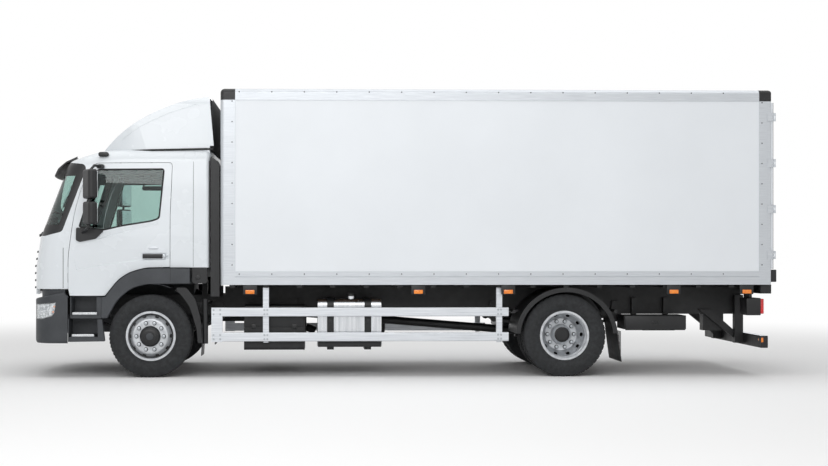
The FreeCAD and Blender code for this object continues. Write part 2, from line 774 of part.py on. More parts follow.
# Pieces hung on the frame
def build_fuel_tank():
    """Rounded tank on the left with its strapped brackets and filler neck."""
    y0 = -TANK_OUTER
    y1 = y0 + TANK_DEPTH
    corners = [(y0, TANK_BOTTOM, 80), (y1, TANK_BOTTOM, 80), (y1, TANK_TOP, 80), (y0, TANK_TOP, 80)]
    tank = prism(corners, "YZ", TANK_FRONT, TANK_REAR)
    tank = softened(tank, 14, lambda b: b.XLength < 0.01)
    shapes = [tank, rod((TANK_FRONT + 420, y0 + 130, TANK_TOP - 5), (TANK_FRONT + 420, y0 + 130, TANK_TOP + 38), 48)]
    save("fuel_tank", fused(shapes))
    straps = []
    for x in (TANK_FRONT + 163, TANK_REAR - 173):
        x0 = x - STRAP_WIDTH / 2
        x1 = x + STRAP_WIDTH / 2
        grown = [
            (y0 - STRAP, TANK_BOTTOM - STRAP, 80 + STRAP),
            (y1 + STRAP, TANK_BOTTOM - STRAP, 80 + STRAP),
            (y1 + STRAP, TANK_TOP + STRAP, 80 + STRAP),
            (y0 - STRAP, TANK_TOP + STRAP, 80 + STRAP),
        ]
        band = prism(grown, "YZ", x0, x1).cut(prism(corners, "YZ", x0, x1))
        shelf = block(x0, x1, y0 + 60, -RAIL_OUTER_Y, TANK_BOTTOM - 35, TANK_BOTTOM - STRAP)
        post = block(x0, x1, y1 + STRAP, -RAIL_OUTER_Y, TANK_BOTTOM - 35, RAIL_TOP - 40)
        straps.append(fused([band, shelf, post]))
    save("tank_straps", group(straps))


def tray_box(x0, x1, outer, inner, bottom, top):
    """Plastic-covered box with rounded long edges, for the vehicle's right side."""
    corners = [(inner, bottom, 20), (outer, bottom, 40), (outer, top, 40), (inner, top, 20)]
    return prism(corners, "YZ", x0, x1)


def rail_bracket(x0, x1, inner, bottom):
    """Angle bracket that holds a side box to the frame rail."""
    return block(x0, x1, RAIL_OUTER_Y, inner, bottom, RAIL_TOP - 40)


def build_equipment():
    """Battery box, tool box and a small valve box on the left of the frame."""
    battery = tray_box(1137, 1886, 1080, 500, 328, 880)
    battery = fused([battery, rail_bracket(1250, 1330, 500, 400), rail_bracket(1700, 1780, 500, 400)])
    tool = block(5899, 6685, 500, 900, 568, RAIL_BOTTOM)
    lip = block(6146, 6549, 520, 870, 550, 568)
    drawer = block(5940, 6640, 900, 912, 600, 700)
    brackets = [rail_bracket(x, x + 60, 500, 640) for x in (6090, 6500)]
    tool = fused([tool, lip, drawer] + brackets)
    valve = block(7037, 7304, 270, 420, 526, RAIL_BOTTOM)
    save("equipment_boxes", group([mirrored(shape) for shape in (battery, tool, valve)]))


def build_exhaust_and_air():
    """Silencer box and two air tanks on the right of the frame."""
    silencer = tray_box(1137, 1886, 1080, 500, 350, 900)
    silencer = fused([silencer, rail_bracket(1250, 1330, 500, 400), rail_bracket(1700, 1780, 500, 400)])
    silencer = fused([silencer, rod((1886, 700, 520), (2010, 700, 470), 55)])
    tanks = []
    for z in (560, 860):
        tank = rod((2100, 640, z), (2960, 640, z), 138)
        tank = softened(tank, 50, lambda b: b.XLength < 0.01)
        tanks.append(tank)
    for x in (2300, 2760):
        tanks.append(block(x - 25, x + 25, RAIL_OUTER_Y, 640, 520, RAIL_TOP - 60))
    save("exhaust_air_tanks", group([silencer, fused(tanks)]))


def build_air_intake():
    """Tall intake duct behind the left of the cab, standing on its cross duct over the frame rail."""
    front = CAB_REAR + 8
    rear = BOX_FRONT - 19
    stack = prism([
        (front, RAIL_TOP),
        (front, 2716, 6),
        (rear - 26, 2660, 20),
        (rear, 2590, 30),
        (rear, RAIL_TOP),
    ], "XZ", -1160, -860)
    cross = block(front + 8, rear - 8, -860, -RAIL_OUTER_Y + 60, RAIL_TOP, RAIL_TOP + 120)
    louvres = [block(rear - 12, rear + 5, -1140, -880, z, z + 14) for z in range(2150, 2560, 40)]
    save("air_intake", stack.fuse(cross).cut(louvres))


def build_side_guards():
    """Two aluminium rails a side on a front plate and two hangers from the floor bearers."""
    y1 = GUARD_OUTER
    y0 = y1 - GUARD_THICKNESS
    front = block(GUARD_FRONT, GUARD_FRONT + 135, y0, y1, 435, 856)
    upper = block(GUARD_FRONT + 20, GUARD_REAR, y0, y1, 747, 856)
    lower = block(GUARD_FRONT + 20, GUARD_REAR, y0, y1, 441, 550)
    rails = [front]
    for rail in (upper, lower):
        rails.append(softened(rail, 9, lambda b: b.XLength > 3000 and b.YMin > y1 - 1))
    hangers = []
    for index in (1, 8):
        x = bearer_positions()[index]
        hangers.append(block(x - 36, x + 36, y0 - 56, y0, 441, SUBFRAME_TOP))
        hangers.append(block(x - 30, x + 30, y0 - 50, y0 - 6, 425, 441))
    one = fused(rails + hangers)
    save("side_guards", both_sides(one))


def drum_solid(x, z, half_x, half_z, y0, y1):
    """Solid of elliptical section lying along the Y direction."""
    face = Part.Face(Part.Wire(Part.Ellipse(vec(0, 0, 0), half_x, half_z).toShape()))
    face.rotate(vec(0, 0, 0), vec(1, 0, 0), 90)
    face.translate(vec(x, y0, z))
    return face.extrude(vec(0, y1 - y0, 0))


def ellipse_band(x, z, half_x, half_z, thickness, y0, y1, start, end):
    """Part of an elliptical hoop around the Y direction, between two angles in degrees."""
    hoop = drum_solid(x, z, half_x, half_z, y0, y1)
    hoop = hoop.cut(drum_solid(x, z, half_x - thickness, half_z - thickness, y0 - 1, y1 + 1))
    reach = 2 * half_x
    corners = [(x, z)]
    steps = 4
    for i in range(steps + 1):
        angle = math.radians(start + (end - start) * i / steps)
        corners.append((x + reach * math.cos(angle), z + reach * math.sin(angle)))
    return hoop.common(prism(corners, "XZ", y0, y1))


def build_front_mudguards():
    """Rear half of each front mudguard, its lip and flap, and the tube that carries them."""
    z = AXLE_HEIGHT
    sheet = ellipse_band(0, z, ARCH_SHEET, ARCH_SHEET, 6, 880, GUARD_LIP, -7, 62)
    lip = prism([
        (320, 1078),
        (324, 1102, 10),
        (441, 1102, 60),
        (548, 970, 260),
        (612, 740, 300),
        (ARCH_SHEET - 7, 425, 12),
        (ARCH_SHEET - 59, 425, 12),
        (566, 600, 300),
        (487, 861, 300),
        (417, 962, 200),
    ], "XZ", GUARD_LIP - 22, GUARD_LIP)
    flap_top = z - 60
    flap = prism([(ARCH_SHEET - 22, 268), (ARCH_SHEET - 12, 268), (ARCH_SHEET - 1, flap_top),
                  (ARCH_SHEET - 11, flap_top)], "XZ", 885, GUARD_LIP)
    tube_x = ARCH_SHEET + 27
    tube = rod((tube_x, RAIL_OUTER_Y, 900), (tube_x, GUARD_LIP - 50, 900), 24)
    link = block(450, tube_x, 1000, 1040, 888, 912).cut(rod((0, 0, z), (0, 2000, z), ARCH_SHEET - 3))
    canister = rod((tube_x, GUARD_LIP - 52, 415), (tube_x, GUARD_LIP - 52, 960), 34)
    return both_sides(fused([sheet, lip, flap, tube, link, canister]))


def build_mudguards():
    """Front rear-halves and full rear mudguards over the twin wheels, with flaps."""
    x = REAR_AXLE + 17
    z = AXLE_HEIGHT - 4
    half_x = 630
    half_z = SUBFRAME_TOP - z
    inner = TWIN_CENTRE - TYRE_WIDTH / 2
    sheet = ellipse_band(x, z, half_x, half_z, 6, inner, GUARD_LIP, 3, 177)
    lip = ellipse_band(x, z, half_x, half_z, 56, GUARD_LIP - 22, GUARD_LIP, 3, 177)
    top = z + 60
    flap = prism([(x + half_x - 12, top), (x + half_x, top), (x + half_x + 50, 185), (x + half_x + 40, 185)],
                 "XZ", inner, GUARD_LIP)
    tubes = []
    for side in (-1, 1):
        tube_x = x + side * (half_x + 4)
        tubes.append(rod((tube_x, RAIL_OUTER_Y, 800), (tube_x, 1100, 800), 22))
        reach = x + side * (half_x - 90)
        plate = block(min(tube_x, reach), max(tube_x, reach), 800, 850, 788, 812)
        tubes.append(plate.cut(drum_solid(x, z, half_x - 3, half_z - 3, 790, 860)))
    rear = both_sides(fused([sheet, lip, flap] + tubes))
    save("mudguards", group([rear, build_front_mudguards()]))


def build_underrun():
    """Rear underrun bar on two posts and braces."""
    y0 = RAIL_OUTER_Y
    y1 = y0 + 90
    bar_x = BAR_FRONT
    post = block(bar_x - 110, bar_x, y0, y1, BAR_BOTTOM + 20, RAIL_TOP - 4)
    foot = bar_x - 80
    brace = prism([(foot, BAR_BOTTOM + 60), (foot, BAR_BOTTOM + 160), (bar_x - 410, RAIL_BOTTOM + 60),
                   (bar_x - 560, RAIL_BOTTOM + 60)], "XZ", y0, y0 + 40)
    half = BOX_SIDE - 75
    bar = block(bar_x, bar_x + 93, -half, half, BAR_BOTTOM, BAR_BOTTOM + 150)
    bar = softened(bar, 12, lambda b: b.YLength > 1000)
    save("underrun_guard", fused([bar, post, brace, mirrored(post), mirrored(brace)]))


def build_lamps():
    """Tail lamps under the last floor bearer and orange markers under the side rails."""
    x = BOX_REAR - TAIL_LAMP_SETBACK
    housing = softened(block(x - 150, x + 28, 900, 1180, 753, 968), 14, lambda b: b.YLength > 200 and b.XMax < x)
    lens = softened(block(x + 28, x + 68, 905, 1180, 770, 962), 10, lambda b: b.XMin > x + 60)
    arms = [block(x - 110, x - 70, y, y + 50, 968, FLOOR_BOTTOM) for y in (930, 1090)]
    save("tail_lamps", both_sides(fused([housing, lens] + arms)))
    markers = []
    for mx in (1220, 3281, 4388, 6436, 7342):
        base = block(mx - 85, mx + 85, BOX_SIDE - 30, BOX_SIDE - 22, 1018, BOX_BOTTOM)
        lamp = softened(block(mx - 55, mx + 55, BOX_SIDE - 22, BOX_SIDE - 4, 1026, 1074), 7,
                        lambda b: b.YMin > BOX_SIDE - 6)
        markers.append(fused([base, lamp]))
    save("side_markers", both_sides(group(markers)))


# Load box
def bearer_positions():
    first = BOX_FRONT + POST_WIDTH + BEARER_WIDTH / 2 + CLEARANCE
    last = BOX_REAR - REAR_BAR_REACH - BEARER_WIDTH
    count = int((last - first) / BEARER_PITCH) + 1
    return [first + i * BEARER_PITCH for i in range(count)]


def build_subframe():
    """Two long bearers on the frame rails, cross bearers over them and the bar under the rear frame."""
    half = BEARER_WIDTH / 2
    span = BEARER_HALF_SPAN
    bar_front = BOX_REAR - REAR_BAR_REACH
    long_bearer = block(BOX_FRONT, bar_front, RAIL_OUTER_Y - RAIL_FLANGE, RAIL_OUTER_Y, RAIL_TOP, SUBFRAME_TOP)
    save("box_long_bearers", both_sides(long_bearer))
    shapes = []
    for x in bearer_positions():
        shapes.append(block(x - half, x + half, -span, span, SUBFRAME_TOP, FLOOR_BOTTOM))
    shapes.append(block(bar_front, BOX_REAR + REAR_BAR_PROUD, -span, span, RAIL_TOP + REAR_BAR_LIFT, BOX_BOTTOM))
    save("box_cross_bearers", group(shapes))


def edge_section(side, top, skin_side, skin_top, core):
    """Section of an aluminium edge profile whose outer corner is at (side, top)."""
    return [
        (side, top - core - skin_side),
        (side, top, EDGE_ROUND),
        (side - core - skin_top, top),
        (side - core - skin_top, top - EDGE_SKIN),
        (side - EDGE_SKIN - core, top - EDGE_SKIN),
        (side - EDGE_SKIN - core, top - EDGE_SKIN - core),
        (side - EDGE_SKIN, top - EDGE_SKIN - core),
        (side - EDGE_SKIN, top - core - skin_side),
    ]


def box_panels():
    """Sandwich panels of the load space and its floor, by name."""
    front = BOX_FRONT + EDGE_SKIN
    side = BOX_SIDE - EDGE_SKIN
    core_front = front + EDGE_CORE
    core_side = side - EDGE_CORE
    rear = BOX_REAR - REAR_FRAME_DEPTH
    floor_top = FLOOR_BOTTOM + FLOOR_THICKNESS
    top = BOX_TOP - EDGE_SKIN - EDGE_CORE
    wall = block(BOX_FRONT + POST_WIDTH, rear, side - PANEL, side, floor_top, top)
    roof_top = BOX_TOP - EDGE_SKIN
    floor = block(front + SILL_DEPTH, rear, -side + SILL_DEPTH, side - SILL_DEPTH, FLOOR_BOTTOM, floor_top)
    post_foot = block(BOX_FRONT, BOX_FRONT + POST_WIDTH, core_side, side, BOX_BOTTOM, floor_top + 1)
    return {
        "box_side_walls": both_sides(wall),
        "box_front_wall": block(front, front + PANEL, -core_side, core_side, floor_top, top),
        "box_roof": block(core_front, rear, -core_side, core_side, roof_top - PANEL, roof_top),
        "box_floor": floor.cut([post_foot, mirrored(post_foot)]),
    }


def build_box_rails():
    """Rounded top rails, the front header and grooved bottom rails."""
    x0 = BOX_FRONT + CAP_LENGTH
    x1 = BOX_REAR - REAR_FRAME_DEPTH - SIDE_FLANGE
    top = prism(edge_section(BOX_SIDE, BOX_TOP, SIDE_FLANGE + EDGE_SKIN, 22, EDGE_CORE), "YZ", x0, x1)
    header_points = edge_section(-BOX_FRONT, BOX_TOP, SIDE_FLANGE + EDGE_SKIN, 22, EDGE_CORE)
    header_half = BOX_SIDE - EDGE_SKIN - EDGE_CORE - 22
    header = prism([(-p[0],) + p[1:] for p in header_points], "XZ", -header_half, header_half)
    side = BOX_SIDE - EDGE_SKIN
    floor_top = FLOOR_BOTTOM + FLOOR_THICKNESS
    groove = BOX_BOTTOM + 98
    bottom_points = [
        (BOX_SIDE, BOX_BOTTOM),
        (BOX_SIDE, groove - 3),
        (BOX_SIDE - 4, groove),
        (BOX_SIDE, groove + 3),
        (BOX_SIDE, BOX_BOTTOM + BOTTOM_RAIL_HEIGHT),
        (side, BOX_BOTTOM + BOTTOM_RAIL_HEIGHT),
        (side, floor_top),
        (side - SILL_DEPTH, floor_top),
        (side - SILL_DEPTH, BOX_BOTTOM),
    ]
    bottom = prism(bottom_points, "YZ", x0, x1)
    front = BOX_FRONT + EDGE_SKIN
    sill_points = [
        (BOX_FRONT, BOX_BOTTOM),
        (BOX_FRONT, BOX_BOTTOM + BOTTOM_RAIL_HEIGHT),
        (front, BOX_BOTTOM + BOTTOM_RAIL_HEIGHT),
        (front, floor_top),
        (front + SILL_DEPTH, floor_top),
        (front + SILL_DEPTH, BOX_BOTTOM),
    ]
    sill = prism(sill_points, "XZ", -header_half, header_half)
    save("box_side_rails", group([top, mirrored(top), bottom, mirrored(bottom), header, sill]))


def post_section():
    """Plan of the right front post: rounded outer corner with a flange along the side."""
    front = BOX_FRONT + EDGE_SKIN
    side = BOX_SIDE - EDGE_SKIN
    core_side = side - EDGE_CORE
    flange_end = BOX_FRONT + POST_WIDTH + POST_FLANGE
    return [
        (BOX_FRONT, core_side - 22),
        (front, core_side - 22),
        (front, core_side),
        (BOX_FRONT + POST_WIDTH, core_side),
        (BOX_FRONT + POST_WIDTH, side),
        (flange_end, side),
        (flange_end, BOX_SIDE),
        (BOX_FRONT, BOX_SIDE, EDGE_ROUND),
    ]


def build_posts():
    top = BOX_TOP - SIDE_FLANGE - EDGE_CORE - EDGE_SKIN
    post = prism(post_section(), "XY", BOX_BOTTOM, top)
    save("box_front_posts", both_sides(post))


def build_rear_frame():
    """Rear portal with side flanges, sill, hinge plates and lock keepers."""
    x0 = BOX_REAR - REAR_FRAME_DEPTH
    side = BOX_SIDE - EDGE_SKIN
    inner = BOX_SIDE - REAR_FRAME_WIDTH
    top = BOX_TOP - SIDE_FLANGE - EDGE_CORE - EDGE_SKIN
    post_points = [
        (x0 - SIDE_FLANGE, side),
        (x0, side),
        (x0, inner),
        (BOX_REAR, inner),
        (BOX_REAR, BOX_SIDE, 8),
        (x0 - SIDE_FLANGE, BOX_SIDE),
    ]
    post = prism(post_points, "XY", BOX_BOTTOM, top)
    header_half = BOX_SIDE - EDGE_SKIN - EDGE_CORE - 22
    header = block(x0, BOX_REAR, -header_half, header_half, top, BOX_TOP)
    sill = block(x0, BOX_REAR, -inner, inner, BOX_BOTTOM, REAR_SILL_TOP)
    header_tie = block(x0, BOX_REAR, -inner, inner, top - 5, top)
    shapes = [post, mirrored(post), header, header_tie, sill]
    for side_sign in (-1, 1):
        plates = []
        for z in hinge_heights():
            plate = block(HINGE_X - 90, HINGE_X, BOX_SIDE, BOX_SIDE + 8, z - 50, z + 50)
            upper = rod((HINGE_X, HINGE_Y, z + 18), (HINGE_X, HINGE_Y, z + 50), HINGE_KNUCKLE)
            lower = rod((HINGE_X, HINGE_Y, z - 50), (HINGE_X, HINGE_Y, z - 18), HINGE_KNUCKLE)
            pin = rod((HINGE_X, HINGE_Y, z - 50), (HINGE_X, HINGE_Y, z + 50), HINGE_PIN)
            slot = block(LEAF_REAR - 5, HINGE_X + 20, BOX_SIDE - 1, HINGE_Y + 20, z - 22, z + 22)
            plates.append(fused([plate.cut(slot), upper, lower, pin]))
        if side_sign < 0:
            plates = [mirrored(plate) for plate in plates]
        shapes.extend(plates)
        for z0 in (REAR_SILL_TOP - 62, DOOR_TOP + 18):
            for offset in (-LOCK_BAR_RADIUS - 20, LOCK_BAR_RADIUS + 8):
                y = side_sign * LOCK_BAR_Y
                shapes.append(block(BOX_REAR, LEAF_REAR + 20, y + offset, y + offset + 12, z0, z0 + 34))
    save("rear_frame", fused(shapes))


def build_caps(panels):
    """Black corner caps of the roof and the rubber buffers on the rear sill."""
    top = BOX_TOP
    bottom = BOX_TOP - SIDE_FLANGE - EDGE_CORE - EDGE_SKIN
    inner = BOX_SIDE - EDGE_SKIN - EDGE_CORE - 22
    shapes = []
    front = block(BOX_FRONT, BOX_FRONT + CAP_LENGTH, inner, BOX_SIDE, bottom, top)
    front = softened(front, EDGE_ROUND, lambda b: (b.XMax < BOX_FRONT + 1 and b.YMin > inner + 1)
                     or (b.ZMin > top - 1 and b.YMin > BOX_SIDE - 1)
                     or (b.ZMin > top - 1 and b.XMax < BOX_FRONT + 1))
    x0 = BOX_REAR - REAR_FRAME_DEPTH - SIDE_FLANGE
    rear = block(x0, BOX_REAR, inner, BOX_SIDE, bottom, top)
    rear = softened(rear, EDGE_ROUND - 12, lambda b: (b.XMin > BOX_REAR - 1 and b.YMin > inner + 1 and b.ZMax > top)
                    or (b.ZMin > top - 1 and b.YMin > BOX_SIDE - 1)
                    or (b.ZMin > top - 1 and b.XMin > BOX_REAR - 1))
    buffer = softened(block(BOX_REAR, TRUCK_REAR, BOX_SIDE - 60, BOX_SIDE, BOX_BOTTOM + 33, BOX_BOTTOM + 185), 14,
                      lambda b: b.XMin > TRUCK_REAR - 1)
    for cap in (front, rear):
        cap = cap.cut(panels)
        shapes += [cap, mirrored(cap)]
    shapes += [buffer, mirrored(buffer)]
    save("corner_caps", group(shapes))


def hinge_heights():
    span = DOOR_TOP - REAR_SILL_TOP - 360
    return [REAR_SILL_TOP + 180 + i * span / (HINGE_COUNT - 1) for i in range(HINGE_COUNT)]


def rear_door():
    """Right rear door leaf with its hinge straps and the lock bar, cams and handle."""
    edge = BOX_SIDE - 13
    bottom = REAR_SILL_TOP + 8
    leaf = block(LEAF_FRONT, LEAF_REAR, DOOR_MIDDLE_GAP / 2, edge, bottom, DOOR_TOP)
    shapes = [leaf]
    for z in hinge_heights():
        shapes.append(block(LEAF_REAR, LEAF_REAR + 6, BOX_SIDE - 170, HINGE_Y, z - 16, z + 16))
        shapes.append(rod((HINGE_X, HINGE_Y, z - 16), (HINGE_X, HINGE_Y, z + 16), HINGE_KNUCKLE))
    bores = []
    for z in hinge_heights():
        bores.append(rod((HINGE_X, HINGE_Y, z - 20), (HINGE_X, HINGE_Y, z + 20), HINGE_PIN + 0.3))
    bar_x = LEAF_REAR + LOCK_BAR_RADIUS + 1
    bar = rod((bar_x, LOCK_BAR_Y, REAR_SILL_TOP - 55), (bar_x, LOCK_BAR_Y, DOOR_TOP + 50), LOCK_BAR_RADIUS)
    shapes.append(bar)
    for z in (bottom + 60, bottom + 700, bottom + 1400, DOOR_TOP - 90):
        shapes.append(block(LEAF_REAR, LEAF_REAR + 20, LOCK_BAR_Y - 26, LOCK_BAR_Y + 26, z, z + 36))
    shapes.append(block(bar_x - 5, bar_x + 5, LOCK_BAR_Y - 300, LOCK_BAR_Y, bottom + 330, bottom + 362))
    return fused(shapes).cut(bores)


def build_rear_doors():
    right = rear_door()
    save("rear_door_right", right)
    save("rear_door_left", mirrored(right))


# Cab form
def cab_plan(inset, level, shift):
    """Left half of the cab's plan: bowed front, round corner and straight side."""
    margin = 150.0
    side = CAB_SIDE - inset
    corner = CAB_CORNER_RADIUS - inset
    front = CAB_FRONT + inset + shift
    radius = CAB_FRONT_RADIUS - inset
    centre = front + radius
    corner_y = side - corner
    corner_x = centre - math.sqrt((radius - corner) ** 2 - corner_y ** 2)
    reach = math.hypot(centre - corner_x, corner_y)
    joint = vec(centre - (centre - corner_x) * radius / reach, -corner_y * radius / reach, level)
    start = vec(centre - math.sqrt(radius ** 2 - margin ** 2), margin, level)
    turn = math.atan2(-corner_y, corner_x - centre)
    turn = (turn if turn < 0 else turn - 2 * math.pi) / 2 - math.pi / 4
    middle = vec(corner_x + corner * math.cos(turn), -corner_y + corner * math.sin(turn), level)
    side_start = vec(corner_x, -side, level)
    rear = CAB_REAR + 200
    far = vec(rear, -side, level)
    back = vec(rear, margin, level)
    edges = [
        Part.Arc(start, vec(front, 0, level), joint).toShape(),
        Part.Arc(joint, middle, side_start).toShape(),
        Part.LineSegment(side_start, far).toShape(),
        Part.LineSegment(far, back).toShape(),
        Part.LineSegment(back, start).toShape(),
    ]
    return Part.Face(Part.Wire(edges))


def roof_space(inset, rear):
    """Left half of all that lies under the roof: cambered, and falling in an arc towards the windscreen."""
    half = CAB_SIDE + 50
    radius = ROOF_CAMBER_RADIUS - inset
    top = ROOF_TOP - inset
    start = ROOF_FALL_START
    axis_z = ROOF_TOP - ROOF_FALL_RADIUS
    drop = radius - math.sqrt(radius ** 2 - half ** 2)
    near_drop = radius - math.sqrt(radius ** 2 - (half - 100) ** 2 / 4)
    left = vec(start, -half, top - drop)
    crown = vec(start, -(half - 100) / 2, top - near_drop)
    right_drop = radius - math.sqrt(radius ** 2 - 100 ** 2)
    right = vec(start, 100, top - right_drop)
    edges = [
        Part.Arc(left, crown, right).toShape(),
        Part.LineSegment(right, vec(start, 100, axis_z)).toShape(),
        Part.LineSegment(vec(start, 100, axis_z), vec(start, -half, axis_z)).toShape(),
        Part.LineSegment(vec(start, -half, axis_z), left).toShape(),
    ]
    section = Part.Face(Part.Wire(edges))
    fall = section.revolve(vec(start, 0, axis_z), vec(0, 1, 0), -75)
    level = section.extrude(vec(rear - start, 0, 0))
    below = block(-2000, rear, -half, 100, 0, WAIST - 300)
    return fall.multiFuse([level, below]).removeSplitter()


def cab_solid(inset):
    """Whole cab as a solid, set in by the given distance on every side but the bottom."""
    brow = WAIST - BROW_START
    top = ROOF_TOP + 80 - WAIST
    stages = [
        (CAB_BASE, 0.0, vec(0, 0, BROW_START - CAB_BASE)),
        (BROW_START, 0.0, vec(BROW_LEAN * brow, 0, brow)),
        (WAIST, BROW_LEAN * brow, vec(SCREEN_LEAN * top, SIDE_LEAN * top, top)),
    ]
    parts = [cab_plan(inset, level, shift).extrude(way) for level, shift, way in stages]
    rear = CAB_REAR - inset
    body = parts[0].multiFuse(parts[1:]).common(roof_space(inset, rear))
    body = softened(body, ROOF_ROUND - inset,
                    lambda b: b.ZMin > ROOF_TOP - 320 and b.YMin < 90 and b.XMin < rear - 1)
    body = softened(body, max(REAR_ROUND - inset, 10),
                    lambda b: b.XMin > rear - 0.5 and b.YMin < 90 and b.ZMax > CAB_BASE + 1)
    half = body.common(block(-2000, 2000, -2000, 0, 0, 4000))
    return half.fuse(mirrored(half))


def door_outline(offset):
    """Side view of the door, grown or shrunk by an offset."""
    arch = [point + (DOOR_ARCH_ROUND,) for point in DOOR_ARCH[1:-1]]
    points = [
        (DOOR_HINGE_X + 20, DOOR_BOTTOM, 10),
        DOOR_ARCH[0] + (25,),
        *arch,
        DOOR_ARCH[-1] + (10,),
        (DOOR_REAR, 1989, 300),
        (DOOR_REAR + 26, DOOR_HEAD, 45),
        (-690, DOOR_HEAD - 8, 110),
        (-846, 2345, 900),
        (-939, 1997, 2000),
        (DOOR_HINGE_X, 1486, 2000),
        (DOOR_HINGE_X, DOOR_BOTTOM + 95, 10),
    ]
    wire = outline(points, "XZ", -1500)
    face = Part.Face(wire)
    if offset:
        face = Part.Face(wire.makeOffset2D(offset))
    return face


def window_outline():
    return [
        (-885, 1838, 30),
        (-583, 1797, 300),
        (-359, 1849, 300),
        (15, 1910),
        (112, 1945, 50),
        (172, DOOR_HEAD - 74, 45),
        (-655, DOOR_HEAD - 81, 90),
    ]


def screen_outline():
    """Side view of the windscreen with its black edge, which wraps onto the front pillars."""
    low = WAIST + 6
    return [
        (CAB_FRONT - 100, low),
        (-1300, low),
        (-1080, low + 52, 60),
        (-772, 2612, 60),
        (-1000, SCREEN_HEAD),
        (CAB_FRONT - 100, SCREEN_HEAD),
    ]


def door_barrels(radius, low, high):
    """Short upright cylinders on the left door's hinge line, one at each hinge."""
    x = DOOR_HINGE_X + DOOR_GAP / 2
    return [rod((x, -CAB_SIDE, z + low), (x, -CAB_SIDE, z + high), radius) for z in DOOR_HINGES]


def flap_barrels(radius, low, high):
    """Cylinders along the lifting front panel's hinge line, one at each side of the middle."""
    z = FLAP_TOP + FLAP_AXIS_RISE
    x = front_x(z)
    return [rod((x, y + low, z), (x, y + high, z), radius) for y in (-FLAP_HINGE_Y, FLAP_HINGE_Y)]


def build_cab_shell(wall):
    """Cab skin with its door, windscreen and front openings, and its half of their hinges."""
    door = door_outline(0).extrude(vec(0, 3000, 0))
    screen = prism(screen_outline(), "XZ", -1500, 1500)
    half = FLAP_HALF_WIDTH + DOOR_GAP
    flap = block(-1700, -1300, -half, half, 0, FLAP_TOP + DOOR_GAP)
    under = prism([
        (-2000, 0),
        (2000, 0),
        (2000, SHELL_REAR_BOTTOM),
        (DOOR_HINGE_X, SHELL_REAR_BOTTOM),
        (DOOR_HINGE_X, SKIRT_BOTTOM),
        (-2000, SKIRT_BOTTOM),
    ], "XZ", -1500, 1500)
    half_barrel = BARREL_LENGTH / 2
    flap_space = flap_barrels(FLAP_BARREL + FLAP_BARREL_GAP, -half_barrel - 1, half_barrel + 1)
    shell = wall.cut([door, screen, flap, under] + both_rows(door_barrels(BARREL + 1, -half_barrel, half_barrel)))
    shell = shell.cut(flap_space)
    ends = door_barrels(BARREL, -3 * half_barrel, -half_barrel - 1) + door_barrels(BARREL, half_barrel + 1, 3 * half_barrel)
    pins = door_barrels(BARREL_PIN, -2 * half_barrel, 2 * half_barrel)
    flap_ends = (flap_barrels(FLAP_BARREL, -3 * half_barrel, -half_barrel - 1)
                 + flap_barrels(FLAP_BARREL, half_barrel + 1, 3 * half_barrel))
    flap_pins = flap_barrels(BARREL_PIN, -2 * half_barrel, 2 * half_barrel)
    save("cab_shell", fused([shell] + both_rows(ends + pins) + flap_ends + flap_pins))


def build_cab_floor():
    """Floor with the engine tunnel, two beams beneath it and the arms down to the pivot."""
    top = FLOOR_UNDERSIDE + CAB_FLOOR_THICKNESS
    rear = CAB_REAR - CAB_WALL
    side = CAB_SIDE - CAB_WALL - CLEARANCE - 1
    front = CAB_FRONT + CAB_WALL + 150
    floor = prism([
        (front, -700, 250),
        (front, 700, 250),
        (front + 200, side, 150),
        (rear, side),
        (rear, -side),
        (front + 200, -side, 150),
    ], "XY", FLOOR_UNDERSIDE, top)
    x0 = ENGINE_FRONT - 60
    x1 = ENGINE_REAR + 60
    half = TUNNEL_HALF_WIDTH
    tunnel_top = ENGINE_TOP + 65
    tunnel = softened(block(x0, x1, -half, half, FLOOR_UNDERSIDE, tunnel_top), 30, lambda b: b.ZMin > tunnel_top - 1)
    hollow = block(x0 + 25, x1 - 25, -half + 25, half - 25, FLOOR_UNDERSIDE, tunnel_top - 30)
    shapes = [floor.fuse(tunnel).cut(hollow)]
    for side_sign in (-1, 1):
        y0 = ARM_INNER_Y if side_sign > 0 else -ARM_INNER_Y - ARM_WIDTH
        y1 = y0 + ARM_WIDTH
        shapes.append(block(PIVOT_X - 38, HOOP_X - 50, y0, y1, FLOOR_UNDERSIDE - 90, FLOOR_UNDERSIDE))
        arm = block(PIVOT_X - PIVOT_ARM_HALF, PIVOT_X + PIVOT_ARM_HALF, y0, y1, PIVOT_Z, FLOOR_UNDERSIDE)
        eye = rod((PIVOT_X, y0, PIVOT_Z), (PIVOT_X, y1, PIVOT_Z), PIVOT_EYE)
        bore = rod((PIVOT_X, y0 - 5, PIVOT_Z), (PIVOT_X, y1 + 5, PIVOT_Z), PIVOT_PIN + BEARING_GAP)
        shapes.append(arm.fuse(eye).cut(bore))
    save("cab_floor", fused(shapes))


def door_crease(start, end, rise, depth, fade):
    """Wedge above a line pressed into the left door: steep at the line and fading out over it."""
    chord = math.hypot(end[0] - start[0], end[1] - start[1])
    radius = (chord ** 2 / 4 + rise ** 2) / (2 * rise)
    lean = math.atan2(end[1] - start[1], end[0] - start[0])
    middle = vec((start[0] + end[0]) / 2, 0, (start[1] + end[1]) / 2)
    centre = middle + vec(math.sin(lean), 0, -math.cos(lean)) * (radius - rise)
    half_angle = math.degrees(math.asin(chord / 2 / radius))
    face = Part.Face(outline([
        (-CAB_SIDE - 2, radius),
        (-CAB_SIDE, radius),
        (-CAB_SIDE + depth, radius + depth),
        (-CAB_SIDE, radius + fade),
        (-CAB_SIDE - 2, radius + fade),
    ], "YZ"))
    face.rotate(vec(0, 0, 0), vec(0, 1, 0), -math.degrees(lean) - half_angle)
    ring = face.revolve(vec(0, 0, 0), vec(0, 1, 0), 2 * half_angle)
    return moved(ring, centre.x, 0, centre.z)


